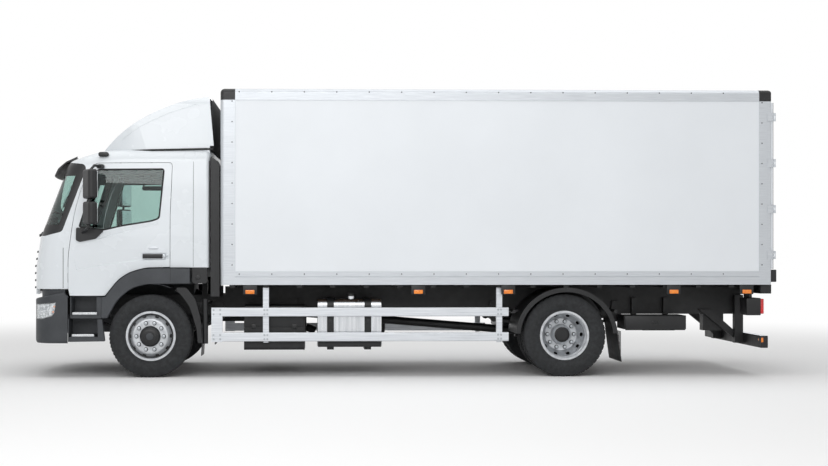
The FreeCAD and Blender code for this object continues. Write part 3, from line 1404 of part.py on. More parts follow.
def build_glass_and_doors(wall, glass):
    """Windscreen, and each door with its window and black-edged glass."""
    save("windscreen", glass.common(prism(screen_outline(), "XZ", -1500, 1500)))
    leaf = wall.common(door_outline(-DOOR_GAP).extrude(vec(0, 700, 0)))
    window = prism(window_outline(), "XZ", -1500, -900)
    handle_cup = prism([(-100, 1446, 12), (190, 1446, 12), (190, 1525, 12), (-100, 1525, 12)], "XZ",
                       -CAB_SIDE, -CAB_SIDE + 18)
    grip = prism([(-92, 1454, 8), (182, 1454, 8), (182, 1517, 8), (-92, 1517, 8)], "XZ",
                 -CAB_SIDE - 12, -CAB_SIDE + 2)
    core = block(-60, 150, -CAB_SIDE - 2, -CAB_SIDE + 30, 1470, 1500)
    half_barrel = BARREL_LENGTH / 2
    notches = []
    for z in DOOR_HINGES:
        for low, high in ((-3 * half_barrel - 1, -half_barrel), (half_barrel, 3 * half_barrel + 1)):
            notches.append(block(DOOR_HINGE_X, DOOR_HINGE_X + DOOR_GAP / 2 + BARREL + 2,
                                 -CAB_SIDE - BARREL, -CAB_SIDE + BARREL + 2, z + low, z + high))
    creases = [
        door_crease((-901, 1314), (231, 1452), 26, 9, 150),
        door_crease((-640, 1690), (96, 1868), 8, 12, 90),
    ]
    leaf = fused([leaf.cut([window, handle_cup] + notches + creases), grip, core]
                 + door_barrels(BARREL, -half_barrel, half_barrel))
    leaf = leaf.cut(door_barrels(BARREL_PIN + 0.3, -half_barrel - 1, half_barrel + 1))
    pane = glass.common(window)
    for name, shape in (("cab_door", leaf), ("door_glass", pane)):
        save(name + "_left", shape)
        save(name + "_right", mirrored(shape))


def front_ring(profile, half_width):
    """Profile of (x, z) points swept along the bow of the cab's front."""
    centre = vec(CAB_FRONT + CAB_FRONT_RADIUS, 0, 0)
    angle = math.degrees(math.asin(half_width / CAB_FRONT_RADIUS))
    face = Part.Face(outline(profile, "XZ"))
    face.rotate(centre, vec(0, 0, 1), -angle)
    return face.revolve(centre, vec(0, 0, 1), 2 * angle)


def front_x(z):
    """Foremost point of the cab's front at a height."""
    brow = max(0.0, min(z, WAIST) - BROW_START)
    return CAB_FRONT + BROW_LEAN * brow + SCREEN_LEAN * max(0.0, z - WAIST)


def build_front_flap(wall):
    """Lifting front panel with its hinge barrels, and the louvred grille set into it."""
    half = FLAP_HALF_WIDTH
    panel = wall.common(block(-1700, -1300, -half, half, FLAP_BOTTOM, FLAP_TOP))
    opening = block(-1700, -1300, -GRILLE_HALF_WIDTH, GRILLE_HALF_WIDTH, GRILLE_BOTTOM, GRILLE_TOP)
    opening = softened(opening, GRILLE_CORNER, lambda b: b.XLength > 100)
    half_barrel = BARREL_LENGTH / 2
    space = FLAP_BARREL + FLAP_BARREL_GAP
    cuts = (flap_barrels(space, -3 * half_barrel - 1, -half_barrel)
            + flap_barrels(space, half_barrel, 3 * half_barrel + 1))
    panel = fused([panel.cut([opening] + cuts)] + flap_barrels(FLAP_BARREL, -half_barrel, half_barrel))
    save("front_flap", panel.cut(flap_barrels(BARREL_PIN + 0.3, -half_barrel - 1, half_barrel + 1)))
    slats = []
    pitch = (GRILLE_TOP - GRILLE_BOTTOM) / SLAT_COUNT
    for i in range(SLAT_COUNT):
        z = GRILLE_BOTTOM + (i + 0.5) * pitch
        x = front_x(z)
        blade = [
            (x - SLAT_PROUD, z - 0.12 * pitch, 6),
            (x - SLAT_PROUD, z + 0.16 * pitch, 6),
            (x + 32, z + 0.42 * pitch),
            (x + 32, z + 0.06 * pitch),
        ]
        slats.append(front_ring(blade, GRILLE_HALF_WIDTH - 14))
    ribs = []
    for y in (-GRILLE_HALF_WIDTH + 14, -GRILLE_HALF_WIDTH / 2, 0, GRILLE_HALF_WIDTH / 2, GRILLE_HALF_WIDTH - 14):
        shift = CAB_FRONT_RADIUS - math.sqrt(CAB_FRONT_RADIUS ** 2 - y ** 2)
        low = front_x(GRILLE_BOTTOM) + shift
        high = front_x(GRILLE_TOP) + shift
        rib = [
            (low + 14, GRILLE_BOTTOM),
            (low + 14, BROW_START),
            (high + 14, GRILLE_TOP),
            (high + 44, GRILLE_TOP),
            (low + 44, BROW_START),
            (low + 44, GRILLE_BOTTOM),
        ]
        ribs.append(prism(rib, "XZ", y - 8, y + 8))
    space = block(-1700, -1300, -GRILLE_HALF_WIDTH, GRILLE_HALF_WIDTH, GRILLE_BOTTOM, GRILLE_TOP)
    space = softened(space, GRILLE_CORNER + 15, lambda b: b.XLength > 100)
    save("grille", fused(slats + ribs).common(space))


def build_sun_visor(outer):
    """Moulded peak over the windscreen with its end cheeks."""
    x = front_x(SCREEN_HEAD)
    profile = [
        (x - 172, 2486, 8),
        (x - 128, 2582, 90),
        (x - 30, 2669, 120),
        (x + 110, 2735),
        (x + 100, 2700),
        (x - 36, 2646, 100),
        (x - 112, 2562, 70),
        (x - 148, 2478, 8),
    ]
    peak = front_ring(profile, VISOR_HALF_WIDTH)
    cheek = [
        (x - 172, 2486, 14),
        (x - 128, 2582, 90),
        (x - 30, 2669, 120),
        (x + 110, 2735),
        (x + 80, 2560),
        (x - 6, 2467, 40),
        (x - 67, 2453, 60),
        (x - 146, 2462, 14),
    ]
    shift = CAB_FRONT_RADIUS - math.sqrt(CAB_FRONT_RADIUS ** 2 - VISOR_HALF_WIDTH ** 2)
    end = moved(prism(cheek, "XZ", -VISOR_HALF_WIDTH, -VISOR_HALF_WIDTH + 14), shift - 4, 0, 0)
    visor = fused([peak, end, mirrored(end)]).cut(outer)
    largest = max(visor.Solids, key=lambda solid: solid.Volume)
    save("sun_visor", largest)


def deflector_form(inset, rear):
    """Roof deflector as a solid, set in from its skin."""
    start = vec(-650 + inset, -1300, 2760)
    middle = vec(-75 + 0.7 * inset, -1300, 3215 - 0.8 * inset)
    end = vec(DEFLECTOR_REAR - 56, -1300, DEFLECTOR_TOP - inset)
    points = [end, vec(rear, -1300, DEFLECTOR_TOP - inset), vec(rear, -1300, 2700), vec(-650 + inset, -1300, 2700), start]
    edges = [Part.Arc(start, middle, end).toShape()]
    for a, b in zip(points, points[1:]):
        edges.append(Part.LineSegment(a, b).toShape())
    side = Part.Face(Part.Wire(edges)).extrude(vec(0, 2600, 0))
    half = DEFLECTOR_WIDTH / 2 - inset
    plan = prism([
        (-900 + inset, -half + 420, 200),
        (-380, -half + 40, 600),
        (0, -half),
        (rear + 50, -half),
        (rear + 50, half),
        (0, half),
        (-380, half - 40, 600),
        (-900 + inset, half - 420, 200),
    ], "XY", 2600, 3700)
    top = DEFLECTOR_TOP - inset
    front = prism([(-half, 2600), (half, 2600), (half - 30, top + 8, 130), (-half + 30, top + 8, 130)],
                  "YZ", -1500, rear + 100)
    return side.common(plan).common(front)


def build_deflector(outer):
    """Hollow roof deflector, open at the back and seated on the roof."""
    recess = prism([
        (-330, 2872, 30),
        (626, 3051, 30),
        (604, 3344, 60),
        (540, 3368, 60),
        (205, 3257, 400),
        (-135, 3100, 400),
        (-390, 2920, 30),
    ], "XZ", -1300, 1300)
    outside = deflector_form(0, DEFLECTOR_REAR).cut(recess).fuse(deflector_form(DEFLECTOR_RECESS, DEFLECTOR_REAR))
    skin = outside.cut(deflector_form(DEFLECTOR_WALL, DEFLECTOR_REAR + 50))
    trim = prism([
        (DEFLECTOR_REAR - 56, DEFLECTOR_TOP + 10),
        (DEFLECTOR_REAR + 20, DEFLECTOR_TOP + 10),
        (DEFLECTOR_REAR + 20, 2600),
        (CAB_REAR - 10, 2600),
        (CAB_REAR - 10, 2852),
        (DEFLECTOR_REAR, 2852),
    ], "XZ", -1300, 1300)
    shell = skin.cut([outer, trim])
    save("roof_deflector", max(shell.Solids, key=lambda solid: solid.Volume))


def build_flares():
    """Wheel-arch flares, arch liners and the upper cab steps."""
    y0 = -CAB_SIDE - FLARE_PROUD
    y1 = -CAB_SIDE + 8
    band = [
        (-600, STEP_SPLIT, 8),
        (-585, DOOR_BOTTOM + 30),
        (-400, 1260),
        (0, 1400),
        (485, 1400),
        (485, 1150, 10),
        (-45, 1143, 400),
        (-233, 1096, 400),
        (-404, 950, 400),
        (-523, STEP_SPLIT, 8),
    ]
    lift = [(-1200, DOOR_BOTTOM - DOOR_GAP - 3), (-545, DOOR_BOTTOM - DOOR_GAP - 3)]
    arch = [(x + DOOR_GAP, z - DOOR_GAP, DOOR_ARCH_ROUND) for x, z in DOOR_ARCH[1:-1]]
    above = lift + arch + [(DOOR_REAR + 20, 1340), (700, 1333), (700, 1800), (-1200, 1800)]
    flare = softened(prism(band, "XZ", y0, y1), 12, lambda b: b.YMax < y0 + 0.5 and b.ZMax < 1150 and b.XMax < 484)
    flare = flare.cut(prism(above, "XZ", y0 - 10, y1 + 10))
    liner = ellipse_band(0, AXLE_HEIGHT, ARCH_SHEET, ARCH_SHEET, 6, -CAB_SIDE + 2, -700, 68, 158)
    roof_plate = block(-560, 480, -900, -860, AXLE_HEIGHT + ARCH_SHEET - 12, FLOOR_UNDERSIDE)
    roof_plate = roof_plate.cut(rod((0, -2000, AXLE_HEIGHT), (0, 0, AXLE_HEIGHT), ARCH_SHEET - 4))
    front = DOOR_HINGE_X + 38
    back = -ARCH_SHEET - 13
    inner = block(front, back, -965, -955, STEP_SPLIT, FLOOR_UNDERSIDE)
    cheek = block(front, front + 10, y0 + 20, -955, STEP_SPLIT, DOOR_BOTTOM - DOOR_GAP - 3)
    tread = block(front + 18, back + 15, y0 + 8, -955, 762, 798)
    lip = block(front, -585, y0 + 22, y0 + 40, STEP_SPLIT, 762)
    side_wall = block(back, back + 10, y0 + 50, -900, STEP_SPLIT, 950)
    link = block(back, -585, y0 + 30, y0 + 50, STEP_SPLIT, 985)
    step = fused([flare, liner, inner, cheek, tread, lip, side_wall, link, roof_plate])
    save("arch_flares", both_sides(step))
    catch = block(508, 689, -CAB_SIDE + 4, -CAB_SIDE + 150, 1153, FLOOR_UNDERSIDE)
    catch = softened(catch, 25, lambda b: b.YLength > 100 and b.ZMax < 1200)
    catch = fused([catch, block(508, 689, -CAB_SIDE + 4, -CAB_SIDE + CAB_WALL, FLOOR_UNDERSIDE, SHELL_REAR_BOTTOM)])
    save("cab_latches", both_sides(catch))


def bumper_plan(inset, level):
    """Whole plan of the bumper: bowed front, round corners and straight sides."""
    side = BUMPER_WIDTH / 2 - inset
    corner = CAB_CORNER_RADIUS - inset
    front = -FRONT_OVERHANG + inset
    radius = CAB_FRONT_RADIUS - inset
    centre = front + radius
    corner_y = side - corner
    corner_x = centre - math.sqrt((radius - corner) ** 2 - corner_y ** 2)
    reach = math.hypot(centre - corner_x, corner_y)
    joint_x = centre - (centre - corner_x) * radius / reach
    joint_y = corner_y * radius / reach
    turn = (math.atan2(corner_y, corner_x - centre) + math.pi / 2) / 2
    middle_x = corner_x + corner * math.cos(turn)
    middle_y = corner_y + corner * math.sin(turn)
    rear = BUMPER_REAR + 400
    edges = [
        Part.Arc(vec(joint_x, -joint_y, level), vec(front, 0, level), vec(joint_x, joint_y, level)).toShape(),
        Part.Arc(vec(joint_x, joint_y, level), vec(middle_x, middle_y, level), vec(corner_x, side, level)).toShape(),
        Part.LineSegment(vec(corner_x, side, level), vec(rear, side, level)).toShape(),
        Part.LineSegment(vec(rear, side, level), vec(rear, -side, level)).toShape(),
        Part.LineSegment(vec(rear, -side, level), vec(corner_x, -side, level)).toShape(),
        Part.Arc(vec(corner_x, -side, level), vec(middle_x, -middle_y, level), vec(joint_x, -joint_y, level)).toShape(),
    ]
    return Part.Face(Part.Wire(edges))


def bumper_solid(inset, drop):
    """Bumper's outer form with its sloping top, set in by a wall."""
    body = bumper_plan(inset, BUMPER_BOTTOM).extrude(vec(0, 0, 800))
    front_top = BUMPER_TOP_FRONT - drop
    rear_top = BUMPER_TOP_REAR - drop
    keep = prism([
        (-FRONT_OVERHANG - 50, BUMPER_BOTTOM - 5),
        (BUMPER_REAR, BUMPER_BOTTOM - 5),
        (BUMPER_REAR, rear_top - BUMPER_CUT - 4),
        (BUMPER_REAR - BUMPER_CUT, rear_top),
        (-FRONT_OVERHANG - 50, front_top),
    ], "XZ", -1500, 1500)
    return body.common(keep)


def lamp_outline():
    return [
        (-1144, 923, 12),
        (-1158, 796, 40),
        (-1193, 754, 20),
        (-1330, 715),
        (-1700, 700),
        (-1700, 895),
        (-1340, 905),
    ]


def build_bumper():
    """Moulded bumper with rounded edges, air intakes, lamp openings and its frame brackets."""
    outer = bumper_solid(0, 0)
    outer = softened(outer, 26, lambda b: b.ZMin > BUMPER_TOP_FRONT - 10 and b.XMax < BUMPER_REAR - 5
                     or (b.ZMin > BUMPER_TOP_FRONT and b.YLength < 0.1 and b.XLength > 50))
    outer = softened(outer, 60, lambda b: b.ZMax < BUMPER_BOTTOM + 1 and b.XMax < BUMPER_REAR + 1 and
                     (b.XMin < BUMPER_REAR - 5))
    core = bumper_solid(BUMPER_WALL, BUMPER_WALL)
    throat = bumper_solid(BUMPER_LIP, -300)
    intake = softened(block(-1700, -1300, -520, 520, 470, 590), 25, lambda b: b.XLength > 100)
    slot = softened(block(-1700, -1300, -620, 620, 742, 862), 25, lambda b: b.XLength > 100)
    fog = [softened(block(-1700, -1380, y - 90, y + 90, 480, 570), 25, lambda b: b.XLength > 100)
           for y in (-750, 750)]
    lamp = prism(lamp_outline(), "XZ", -1300, -LAMP_INNER)
    eye_space = block(PIVOT_X - PIVOT_EYE - CLEARANCE, PIVOT_X, RAIL_OUTER_Y - RAIL_FLANGE - CHEEK - CLEARANCE,
                      RAIL_OUTER_Y + CHEEK + CLEARANCE, PIVOT_Z - PIVOT_EYE, BUMPER_TOP_REAR)
    arm_space = block(-FRONT_OVERHANG - 50, PIVOT_X, ARM_INNER_Y - CLEARANCE - 2, ARM_INNER_Y + ARM_WIDTH + CLEARANCE + 2,
                      PIVOT_Z + 14, BUMPER_TOP_REAR)
    spaces = [eye_space, mirrored(eye_space), arm_space, mirrored(arm_space)]
    shell = outer.cut([core, throat, intake, slot, lamp, mirrored(lamp)] + fog + spaces)
    bar = block(-FRONT_OVERHANG + 60, -FRONT_OVERHANG + 100, -700, 700, 610, 730)
    shapes = [shell]
    reach = -FRONT_OVERHANG + BUMPER_WALL - 4
    for y0 in (-RAIL_OUTER_Y, RAIL_OUTER_Y - RAIL_FLANGE):
        shapes.append(block(-FRONT_OVERHANG + 100, RAIL_FRONT + 60, y0, y0 + RAIL_FLANGE, 610, 730))
        shapes.append(block(reach, -FRONT_OVERHANG + 60, y0, y0 + RAIL_FLANGE, 640, 700))
        shapes.append(block(RAIL_FRONT, RAIL_FRONT + 60, y0, y0 + RAIL_FLANGE, 730, RAIL_BOTTOM))
    lowest = BUMPER_TOP_FRONT - BUMPER_WALL + 2
    apron = bumper_plan(BUMPER_LIP - 4, lowest).cut(bumper_plan(BUMPER_LIP + 10, lowest))
    apron = apron.extrude(vec(0, 0, APRON_TOP - lowest)).cut([
        block(-1700, -1000, -APRON_REACH, APRON_REACH, 0, 2000),
        block(APRON_REAR, 0, -1500, 1500, 0, 2000),
    ])
    shapes += apron.Solids
    save("bumper", fused(shapes + [bar]))
    cover = bumper_solid(6, 6).cut(bumper_solid(LAMP_DEPTH, -300))
    lamps = cover.common(lamp)
    save("headlamps", both_sides(max(lamps.Solids, key=lambda solid: solid.Volume)))


def build_lower_steps():
    """Fixed lower steps behind the bumper, with their brackets to the frame."""
    outer = CAB_SIDE + FLARE_PROUD
    front = DOOR_HINGE_X + 12
    back = -ARCH_SHEET - 8
    top = STEP_SPLIT - 12
    tray = prism([(front, 440, 25), (-590, 446, 20), (-590, 499), (front, 499)], "XZ", 965, outer - 5)
    tray = tray.cut(block(back, -500, 900, 1160, 400, 600))
    tread = block(front + 40, -674, 990, outer - 2, 499, 531)
    upright = prism([(-632, 446, 12), (-552, 446, 12), (-585, top, 12), (-640, top, 12)], "XZ", 1165, outer)
    inner = block(front, back, 955, 965, 440, top)
    cheek = block(front, front + 10, 955, outer - 5, 440, top)
    arm = block(-960, -900, RAIL_OUTER_Y, 955, 640, 700)
    hanger = block(-960, -900, RAIL_OUTER_Y, SPRING_Y + 45, 640, RAIL_TOP - 100)
    one = fused([tray, tread, upright, inner, cheek, arm, hanger])
    save("lower_steps", both_sides(one))


def mirror_head(z0, z1, width):
    """Mirror housing turned to face the driver."""
    half = width / 2
    head = prism([(-56, -half, 50), (56, -half, 34), (56, half, 34), (-56, half, 50)], "XY", z0, z1)
    head = softened(head, 30, lambda b: b.ZLength < 0.01)
    head.rotate(vec(0, 0, 0), vec(0, 0, 1), 32)
    return moved(head, MIRROR_X, -MIRROR_Y, 0)


def build_mirrors(outer):
    """Door mirrors: two heads on a bowed tube between a foot and an upper bracket."""
    foot = prism([
        (-904, 1839, 20),
        (-908, 1680, 30),
        (-863, 1661, 30),
        (-667, 1699, 60),
        (-575, 1790, 15),
        (-583, 1805, 8),
    ], "XZ", -CAB_SIDE - 24, -CAB_SIDE + 20)
    foot = foot.cut(outer)
    roof_pad = prism([(-660, 2565, 10), (-560, 2565, 20), (-570, 2612, 20), (-640, 2612, 20)], "XZ",
                     -CAB_SIDE - 20, -CAB_SIDE + 60).cut(outer)
    low = 1770
    high = 2590
    bow_y = -MIRROR_Y + 30
    tubes = [
        rod((MIRROR_X - 130, -CAB_SIDE + 4, low), (MIRROR_X - 30, bow_y, low + 60), 16),
        rod((MIRROR_X - 30, bow_y, low + 60), (MIRROR_X, bow_y, low + 160), 16),
        rod((MIRROR_X, bow_y, low + 160), (MIRROR_X, bow_y, high - 60), 16),
        rod((MIRROR_X, bow_y, high - 60), (MIRROR_X + 40, bow_y + 60, high), 16),
        rod((MIRROR_X + 40, bow_y + 60, high), (-600, -CAB_SIDE + 18, high), 16),
    ]
    joints = [(MIRROR_X - 30, bow_y, low + 60), (MIRROR_X, bow_y, low + 160), (MIRROR_X, bow_y, high - 60),
              (MIRROR_X + 40, bow_y + 60, high)]
    balls = [Part.makeSphere(16, vec(*point)) for point in joints]
    heads = [mirror_head(2182, 2538, 240), mirror_head(1870, 2148, 240)]
    tubes = [tube.cut(outer) for tube in tubes]
    assembly = fused([foot, roof_pad] + tubes + balls + heads)
    assembly = max(assembly.Solids, key=lambda solid: solid.Volume)
    save("mirror_left", assembly)
    save("mirror_right", mirrored(assembly))


def seat(y):
    cushion = softened(block(-430, 90, y - 250, y + 250, 1560, 1690), 45, lambda b: b.ZMin > 1689 or b.XMax < -429)
    back = prism([(40, 1640, 40), (170, 1640, 30), (290, 2290, 50), (190, 2290, 50)], "XZ", y - 240, y + 240)
    rest = prism([(205, 2300, 30), (290, 2300, 30), (310, 2470, 35), (235, 2470, 35)], "XZ", y - 135, y + 135)
    stalks = [rod((245, y + s, 2240), (258, y + s, 2330), 9) for s in (-60, 60)]
    base = block(-330, 60, y - 190, y + 190, FLOOR_UNDERSIDE + CAB_FLOOR_THICKNESS, 1565)
    return fused([cushion, back, rest, base] + stalks)


def build_interior():
    """Two seats, and the dashboard clear of the lifting front panel, with the steering column."""
    seats = [seat(y) for y in (-SEAT_Y, SEAT_Y)]
    half = CAB_SIDE - CAB_WALL - 25
    dash = prism([
        (DASH_FRONT, 1330),
        (-1120, 1330, 60),
        (-1080, 1560, 60),
        (-960, 1640, 60),
        (-960, 1760, 60),
        (-1150, 1830, 80),
        (DASH_FRONT, 1745, 40),
    ], "XZ", -half, half).common(cab_solid(CAB_WALL + DASH_GAP))
    column_top = vec(*WHEEL_CENTRE)
    axis = wheel_axis()
    column_length = 330
    column = Part.makeCylinder(42, column_length, column_top - axis * (BOSS_DROP + 0.3 + column_length), axis)
    dash = fused([dash, column])
    save("cab_interior", group(seats + [dash]))


def wheel_axis():
    lean = math.radians(WHEEL_TILT)
    return vec(math.sin(lean), 0, math.cos(lean))


def build_steering_wheel():
    centre = vec(*WHEEL_CENTRE)
    axis = wheel_axis()
    ring = Part.makeTorus(WHEEL_RING, 16, centre, axis)
    boss = Part.makeCylinder(62, 50, centre - axis * BOSS_DROP, axis)
    side = vec(0, 1, 0)
    down = axis.cross(side)
    spokes = []
    for way in (side, side * -1, down * -1):
        end = centre + way * (WHEEL_RING - 4)
        spokes.append(rod(tuple(centre - axis * 8), tuple(end), 12))
    save("steering_wheel", fused([ring, boss] + spokes))


def main():
    os.makedirs("parts", exist_ok=True)
    build_wheels()
    build_frame()
    build_cross_members()
    build_engine()
    build_front_axle()
    build_springs()
    build_rear_axle()
    build_steering()
    build_fuel_tank()
    build_equipment()
    build_exhaust_and_air()
    build_air_intake()
    build_side_guards()
    build_mudguards()
    build_underrun()
    build_lamps()
    build_subframe()
    panels = box_panels()
    for name, panel in panels.items():
        save(name, panel)
    build_box_rails()
    build_posts()
    build_rear_frame()
    build_caps(list(panels.values()))
    build_rear_doors()
    outer = cab_solid(0)
    inner = cab_solid(CAB_WALL)
    wall = outer.cut(inner)
    glass = cab_solid(GLASS_INSET).cut(cab_solid(GLASS_INSET + GLASS))
    build_cab_shell(wall)
    build_cab_floor()
    build_glass_and_doors(wall, glass)
    build_front_flap(wall)
    build_sun_visor(outer)
    build_deflector(outer)
    build_flares()
    build_bumper()
    build_lower_steps()
    build_mirrors(outer)
    build_interior()
    build_steering_wheel()


main()
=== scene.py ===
import bpy
import bmesh
import json
import math
from mathutils import Matrix, Vector


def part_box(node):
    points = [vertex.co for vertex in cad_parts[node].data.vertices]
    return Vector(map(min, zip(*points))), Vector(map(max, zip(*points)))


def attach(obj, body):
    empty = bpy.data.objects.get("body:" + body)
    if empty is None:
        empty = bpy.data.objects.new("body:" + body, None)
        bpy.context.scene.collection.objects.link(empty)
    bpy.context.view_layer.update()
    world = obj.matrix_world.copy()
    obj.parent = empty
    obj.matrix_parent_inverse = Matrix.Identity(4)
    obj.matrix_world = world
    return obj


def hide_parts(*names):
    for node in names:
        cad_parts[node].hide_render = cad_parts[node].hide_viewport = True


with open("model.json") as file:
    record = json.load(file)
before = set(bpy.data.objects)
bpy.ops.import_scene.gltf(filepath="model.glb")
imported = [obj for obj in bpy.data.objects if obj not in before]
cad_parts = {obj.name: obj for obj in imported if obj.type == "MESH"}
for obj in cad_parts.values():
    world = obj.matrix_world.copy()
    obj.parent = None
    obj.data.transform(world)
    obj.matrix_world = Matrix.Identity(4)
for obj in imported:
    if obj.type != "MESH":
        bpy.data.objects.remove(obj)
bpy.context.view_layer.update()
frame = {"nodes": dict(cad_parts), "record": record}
nodes = frame["nodes"]
print("frame loaded:", len(nodes), "nodes")


def linear(hexColour):
    # sRGB hex to the linear colour that the shaders take
    parts = [int(hexColour[i:i + 2], 16) / 255 for i in (1, 3, 5)]
    return tuple(c / 12.92 if c <= 0.04045 else ((c + 0.055) / 1.055) ** 2.4 for c in parts) + (1,)


def addNode(tree, kind, links=(), **settings):
    # one node: settings are its own properties or its sockets' values, links are (socket, source) pairs
    node = tree.nodes.new(kind)
    for name, value in settings.items():
        if hasattr(node, name):
            setattr(node, name, value)
        else:
            node.inputs[name.replace("_", " ")].default_value = value
    for socket, source in links:
        tree.links.new(source, node.inputs[socket])
    return node


